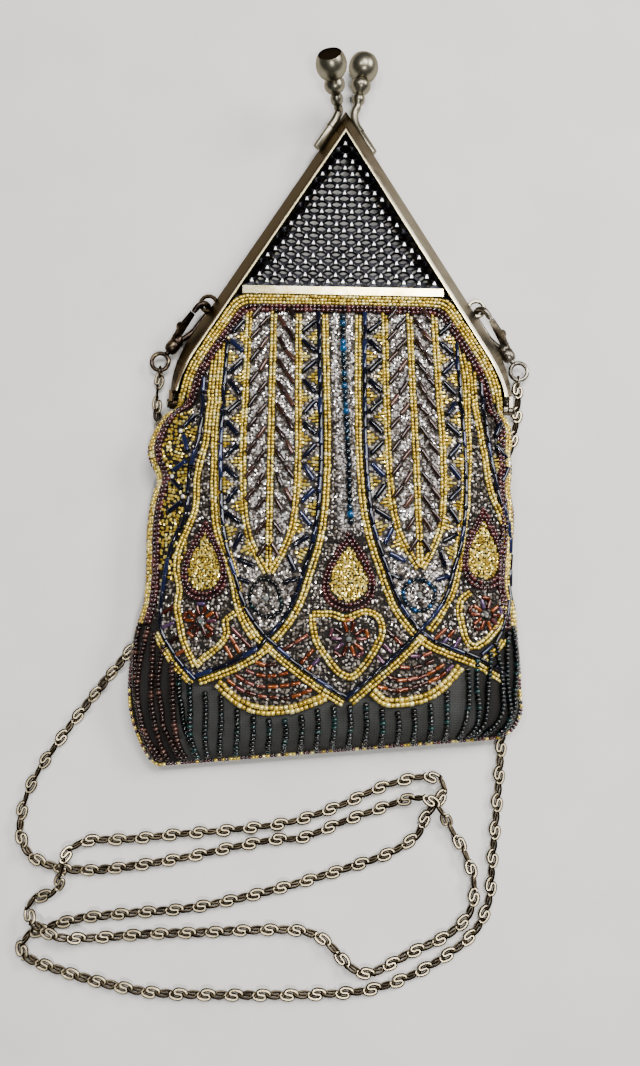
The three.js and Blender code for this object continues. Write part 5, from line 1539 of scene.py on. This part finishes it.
# The route over the surface: x, y, and how far it is lifted over the stretch that it crosses
ROUTE = np.array([
    (-75.6, 78.3, 0), (-76.6, 70, 0), (-75.8, 60, 0), (-73.4, 48, 0), (-71.6, 33, 0), (-72.4, 16, 0),
    (-72.5, 0, 0), (-73.4, -15, 0), (-79.6, -32, 0), (-94, -52, 0), (-108.2, -72, 0), (-117.8, -88, 0),
    (-121.6, -103, 0), (-118.6, -114, 0), (-109, -119.6, 0), (-93.5, -121, 0), (-73.5, -118.6, 0),
    (-54.3, -115, 0), (-36, -110.8, 0), (-21, -108, 0), (-11.5, -107.2, 0), (5.1, -100.5, 0), (20, -95, 0),
    (29.5, -91.6, 0.3), (36.6, -91.4, 1), (41.4, -95.4, 0.9), (45.9, -102.6, 0), (52, -113, 0),
    (55, -124, 0), (52.6, -134.5, 0), (44, -142.3, 0), (30, -149, 0), (18.4, -155.2, 0), (11.2, -156.2, 0),
    (4.6, -151.6, 0), (-2.4, -144.8, 0), (-12, -141.6, 0), (-27.5, -141.6, 0), (-48, -142.9, 0),
    (-70, -144, 0), (-86, -145.4, 0), (-95, -145.6, 0.4), (-102, -144.8, 1), (-109, -142.4, 1),
    (-114.6, -137.8, 0.7), (-114.6, -131.8, 0), (-108.4, -130.4, 0.1), (-104.4, -126, 0.7),
    (-103.4, -120, 1), (-101.6, -114, 0.5), (-95, -110.2, 0), (-79.4, -109.2, 0), (-60.4, -107, 0),
    (-38.7, -104.8, 0), (-17, -101.6, 0), (1.9, -95.2, 0), (18.6, -87.6, 0), (34, -83.4, 0), (42.4, -85, 0),
    (42, -91, 0), (36.4, -97.6, 0), (33.6, -104.4, 0), (23.6, -111.6, 0), (7, -117.8, 0), (-21.4, -126.6, 0),
    (-52, -133.8, 0), (-78, -136.6, 0), (-96, -138.8, 0), (-108, -142.2, 0), (-117, -146.8, 0),
    (-116.6, -152.6, 0), (-106, -156.8, 0), (-87.7, -161.6, 0), (-66.2, -165, 0), (-34.7, -165.2, 0),
    (-3, -164.2, 0), (17, -161.8, 0), (35.7, -154.4, 0), (53, -142.6, 0), (60.2, -130, 0), (62, -114, 0),
    (64.4, -88, 0), (65.8, -70, 0), (67.6, -52, 0), (66.8, -26, 0), (65.4, -4, 0), (66, 18, 0),
    (66.6, 36, 0), (71, 50, 0), (73.6, 64, 0), (74, 77.1, 0),
])
# The route's point where the two halves meet, and steps from each point to the next
ROUTE_MEETING, ROUTE_STEPS = 52, 16
CHAIN_LOW, CHAIN_LIFT = 2.3, 4.6
# The route's points between which the twist dies away, its strength before and after them, and its two waves
TWIST_POINTS, TWIST_STRENGTH = np.array([14, 16]), (0.4, 0.08)
LONG_WAVE, SHORT_WAVE, SHORT_SHARE = 31, 13, 0.6
LINK_PITCH = 5.25
# How far every second link leans, and the share of its brightness that it keeps: painted shade on the leaning
# links
LEAN, LEANING_PAINTED_SHADE = np.radians(64), 0.6
# Half a link: a scroll from its middle out under one end and back round the other
SCROLL = np.array([(0, 0), (0.9, -0.12), (1.45, -0.62), (1.15, -1.36), (0, -1.68), (-1.65, -1.48),
                   (-2.9, -0.84), (-3.25, 0.15), (-2.75, 0.75)])
# How far a link's ends stand off its middle, one up and one down
LINK_RISE = 0.25
# Flat wire: half width and half thickness at its six corners
WIRE_RING = np.array([(0.72, 0), (0.17, 0.46), (-0.17, 0.46), (-0.72, 0), (-0.17, -0.46), (0.17, -0.46)])
# Wear at those corners: faces worn bright with a painted highlight, edges dark and oxidised with painted
# shade
WIRE_WEAR_AND_HIGHLIGHT = np.array([0.0, 1.0, 1.0, 0.0, 1.0, 1.0])


def scroll_link():
    """An S of flat wire: its section along the scroll and its half turn, off their plane by a sine cubed."""
    half = smooth_path(SCROLL, 2)
    flat = np.vstack([-half[:0:-1], half])
    path = np.column_stack([flat, LINK_RISE * np.sin(np.linspace(-1, 1, len(flat)) * np.pi / 2) ** 3])
    along = unit(np.gradient(path, axis=0))
    outward = unit(np.cross(along, UP))
    points, face_sets = ringed(path[:, None] + WIRE_RING[:, :1] * outward[:, None] + WIRE_RING[:, 1:] * UP)
    return points, [faces[:, ::-1] for faces in face_sets]


def make_chain(chain_brass):
    """Links at equal steps along the route, rolled by turns and by a slow twist, which is strong only on
    the stretch that leads from the bag to the first bend."""
    points = np.column_stack([ROUTE[:, :2], CHAIN_LOW + ROUTE[:, 2] * CHAIN_LIFT])
    dense = smooth_path(points, ROUTE_STEPS)
    dense[:, 2] = np.maximum(dense[:, 2], CHAIN_LOW)
    run = distances(dense)
    at = even_steps(run, LINK_PITCH)
    place = points_at(at, run, dense)
    along = unit(np.gradient(place, axis=0))
    side = unit(np.cross(UP, along))
    over = np.cross(along, side)
    swing = np.interp(at, run[TWIST_POINTS * ROUTE_STEPS], TWIST_STRENGTH)
    twist = swing * (np.sin(at / LONG_WAVE) + SHORT_SHARE * np.sin(at / SHORT_WAVE + 1))
    is_leaning = np.arange(len(at)) % 2 == 1
    lean = np.where(along[:, 0] > 0, -LEAN, LEAN)
    roll = np.where(is_leaning, lean, 0) + twist
    y_axis = side * np.cos(roll)[:, None] + over * np.sin(roll)[:, None]
    z_axis = np.cross(along, y_axis)
    link = scroll_link()
    # Wear along each link's wire, with its painted highlight and shade
    wear = np.tile(WIRE_WEAR_AND_HIGHLIGHT, len(link[0]) // len(WIRE_WEAR_AND_HIGHLIGHT))
    middle = run[ROUTE_MEETING * ROUTE_STEPS]
    for name, held in (("left", at < middle), ("right", at >= middle)):
        form = copies(link, place[held], along[held], y_axis[held], z_axis[held])
        # Painted shade: the leaning links are darker
        tint = np.where(is_leaning[held], LEANING_PAINTED_SHADE, 1.0)[:, None] * wear
        piece = mesh_piece(f"chain_{name}_links", *form, chain_brass, tint=tint.ravel())
        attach(piece, "bag")
        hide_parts(f"chain_{name}")


# The rigid CAD pieces keep their shapes and get metals and softened edges

CAD_FINISH = {
    "browned_brass_painted_light": ["front_frame", "back_frame"],
    "rubbed_brass": ["left_hinge_pin", "right_hinge_pin", "right_clip_lever"],
    "polished_brass": ["front_bar", "back_bar"],
    "dark_antique_brass": ["left_clip_lever"],
}
EDGE_ROUNDING, WELD_GAP = 0.22, 0.01
SHARP_ANGLE = np.radians(35)


def soft_shading():
    """A modifier's nodes: faces are shaded smoothly across edges that bend by less than the sharp angle."""
    group = bpy.data.node_groups.new("soft_shading", "GeometryNodeTree")
    for way in ("INPUT", "OUTPUT"):
        group.interface.new_socket("Geometry", in_out=way, socket_type="NodeSocketGeometry")
    shape = add_node(group, "NodeGroupInput").outputs[0]
    angle = add_node(group, "GeometryNodeInputMeshEdgeAngle").outputs["Unsigned Angle"]
    bends = add_node(group, "FunctionNodeCompare", {"A": angle, "B": SHARP_ANGLE}, operation="GREATER_THAN")
    rounded = add_node(group, "GeometryNodeSetShadeSmooth", {"Geometry": shape}, domain="FACE")
    sockets = {"Geometry": rounded.outputs[0], "Selection": bends.outputs[0], "Shade Smooth": False}
    creased = add_node(group, "GeometryNodeSetShadeSmooth", sockets, domain="EDGE")
    add_node(group, "NodeGroupOutput", {0: creased.outputs[0]})
    return group


def finish_cad(metals):
    """Metals and softened edges for the CAD pieces that stay in view."""
    shading = soft_shading()
    for finish, names in CAD_FINISH.items():
        for name in names:
            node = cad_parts[name]
            node.data.materials.clear()
            node.data.materials.append(metals[finish])
            weld = node.modifiers.new("weld", "WELD")
            weld.merge_threshold = WELD_GAP * MM
            node.modifiers.new("shading", "NODES").node_group = shading
            bevel = node.modifiers.new("edges", "BEVEL")
            bevel.width, bevel.segments, bevel.limit_method = EDGE_ROUNDING * MM, 2, "ANGLE"
            bevel.angle_limit = SHARP_ANGLE


# The floor: half its width, how far it lies under the bag, and the size of its speckles
FLOOR_REACH, FLOOR_DROP, SPECKLE_SIZE = 3000, 0.1, 40
FLOOR_SHADES = [(0.3, "#DAD7D1"), (0.7, "#E2DFDA")]


def set_floor():
    """A plain pale floor just under the bag."""
    material, tree, shader = new_material("pale_floor", Roughness=0.85)
    place = add_node(tree, "ShaderNodeTexCoord").outputs["Object"]
    speckle = add_node(tree, "ShaderNodeTexNoise", {"Vector": place}, Scale=1 / (SPECKLE_SIZE * MM),
                       Detail=3.0)
    ramp = add_node(tree, "ShaderNodeValToRGB", {"Fac": speckle.outputs["Fac"]}, FLOOR_SHADES)
    plug(tree, shader, {"Base Color": ramp.outputs["Color"]})
    plan = FLOOR_REACH * np.array([(-1, -1), (1, -1), (1, 1), (-1, 1)])
    corners = np.column_stack([plan, np.full(4, -FLOOR_DROP)])
    floor = mesh_piece("floor", corners, [np.array([[0, 1, 2, 3]])], material)


set_camera()
set_lights()
set_floor()
sew_border()
sew_lancet("left")
sew_lancet("right")
sew_between()
sew_lower_band()
sew_skirt()
sew_seams()
sew_ground()
make_beadwork()
make_crystals()
make_shell()
metals = {name: metal_material(name) for name in METALS}
make_panels(metals["gunmetal"])
make_knobs(metals["satin_brass"])
make_clips(metals)
make_chain(metals["scroll_chain_brass"])
finish_cad(metals)
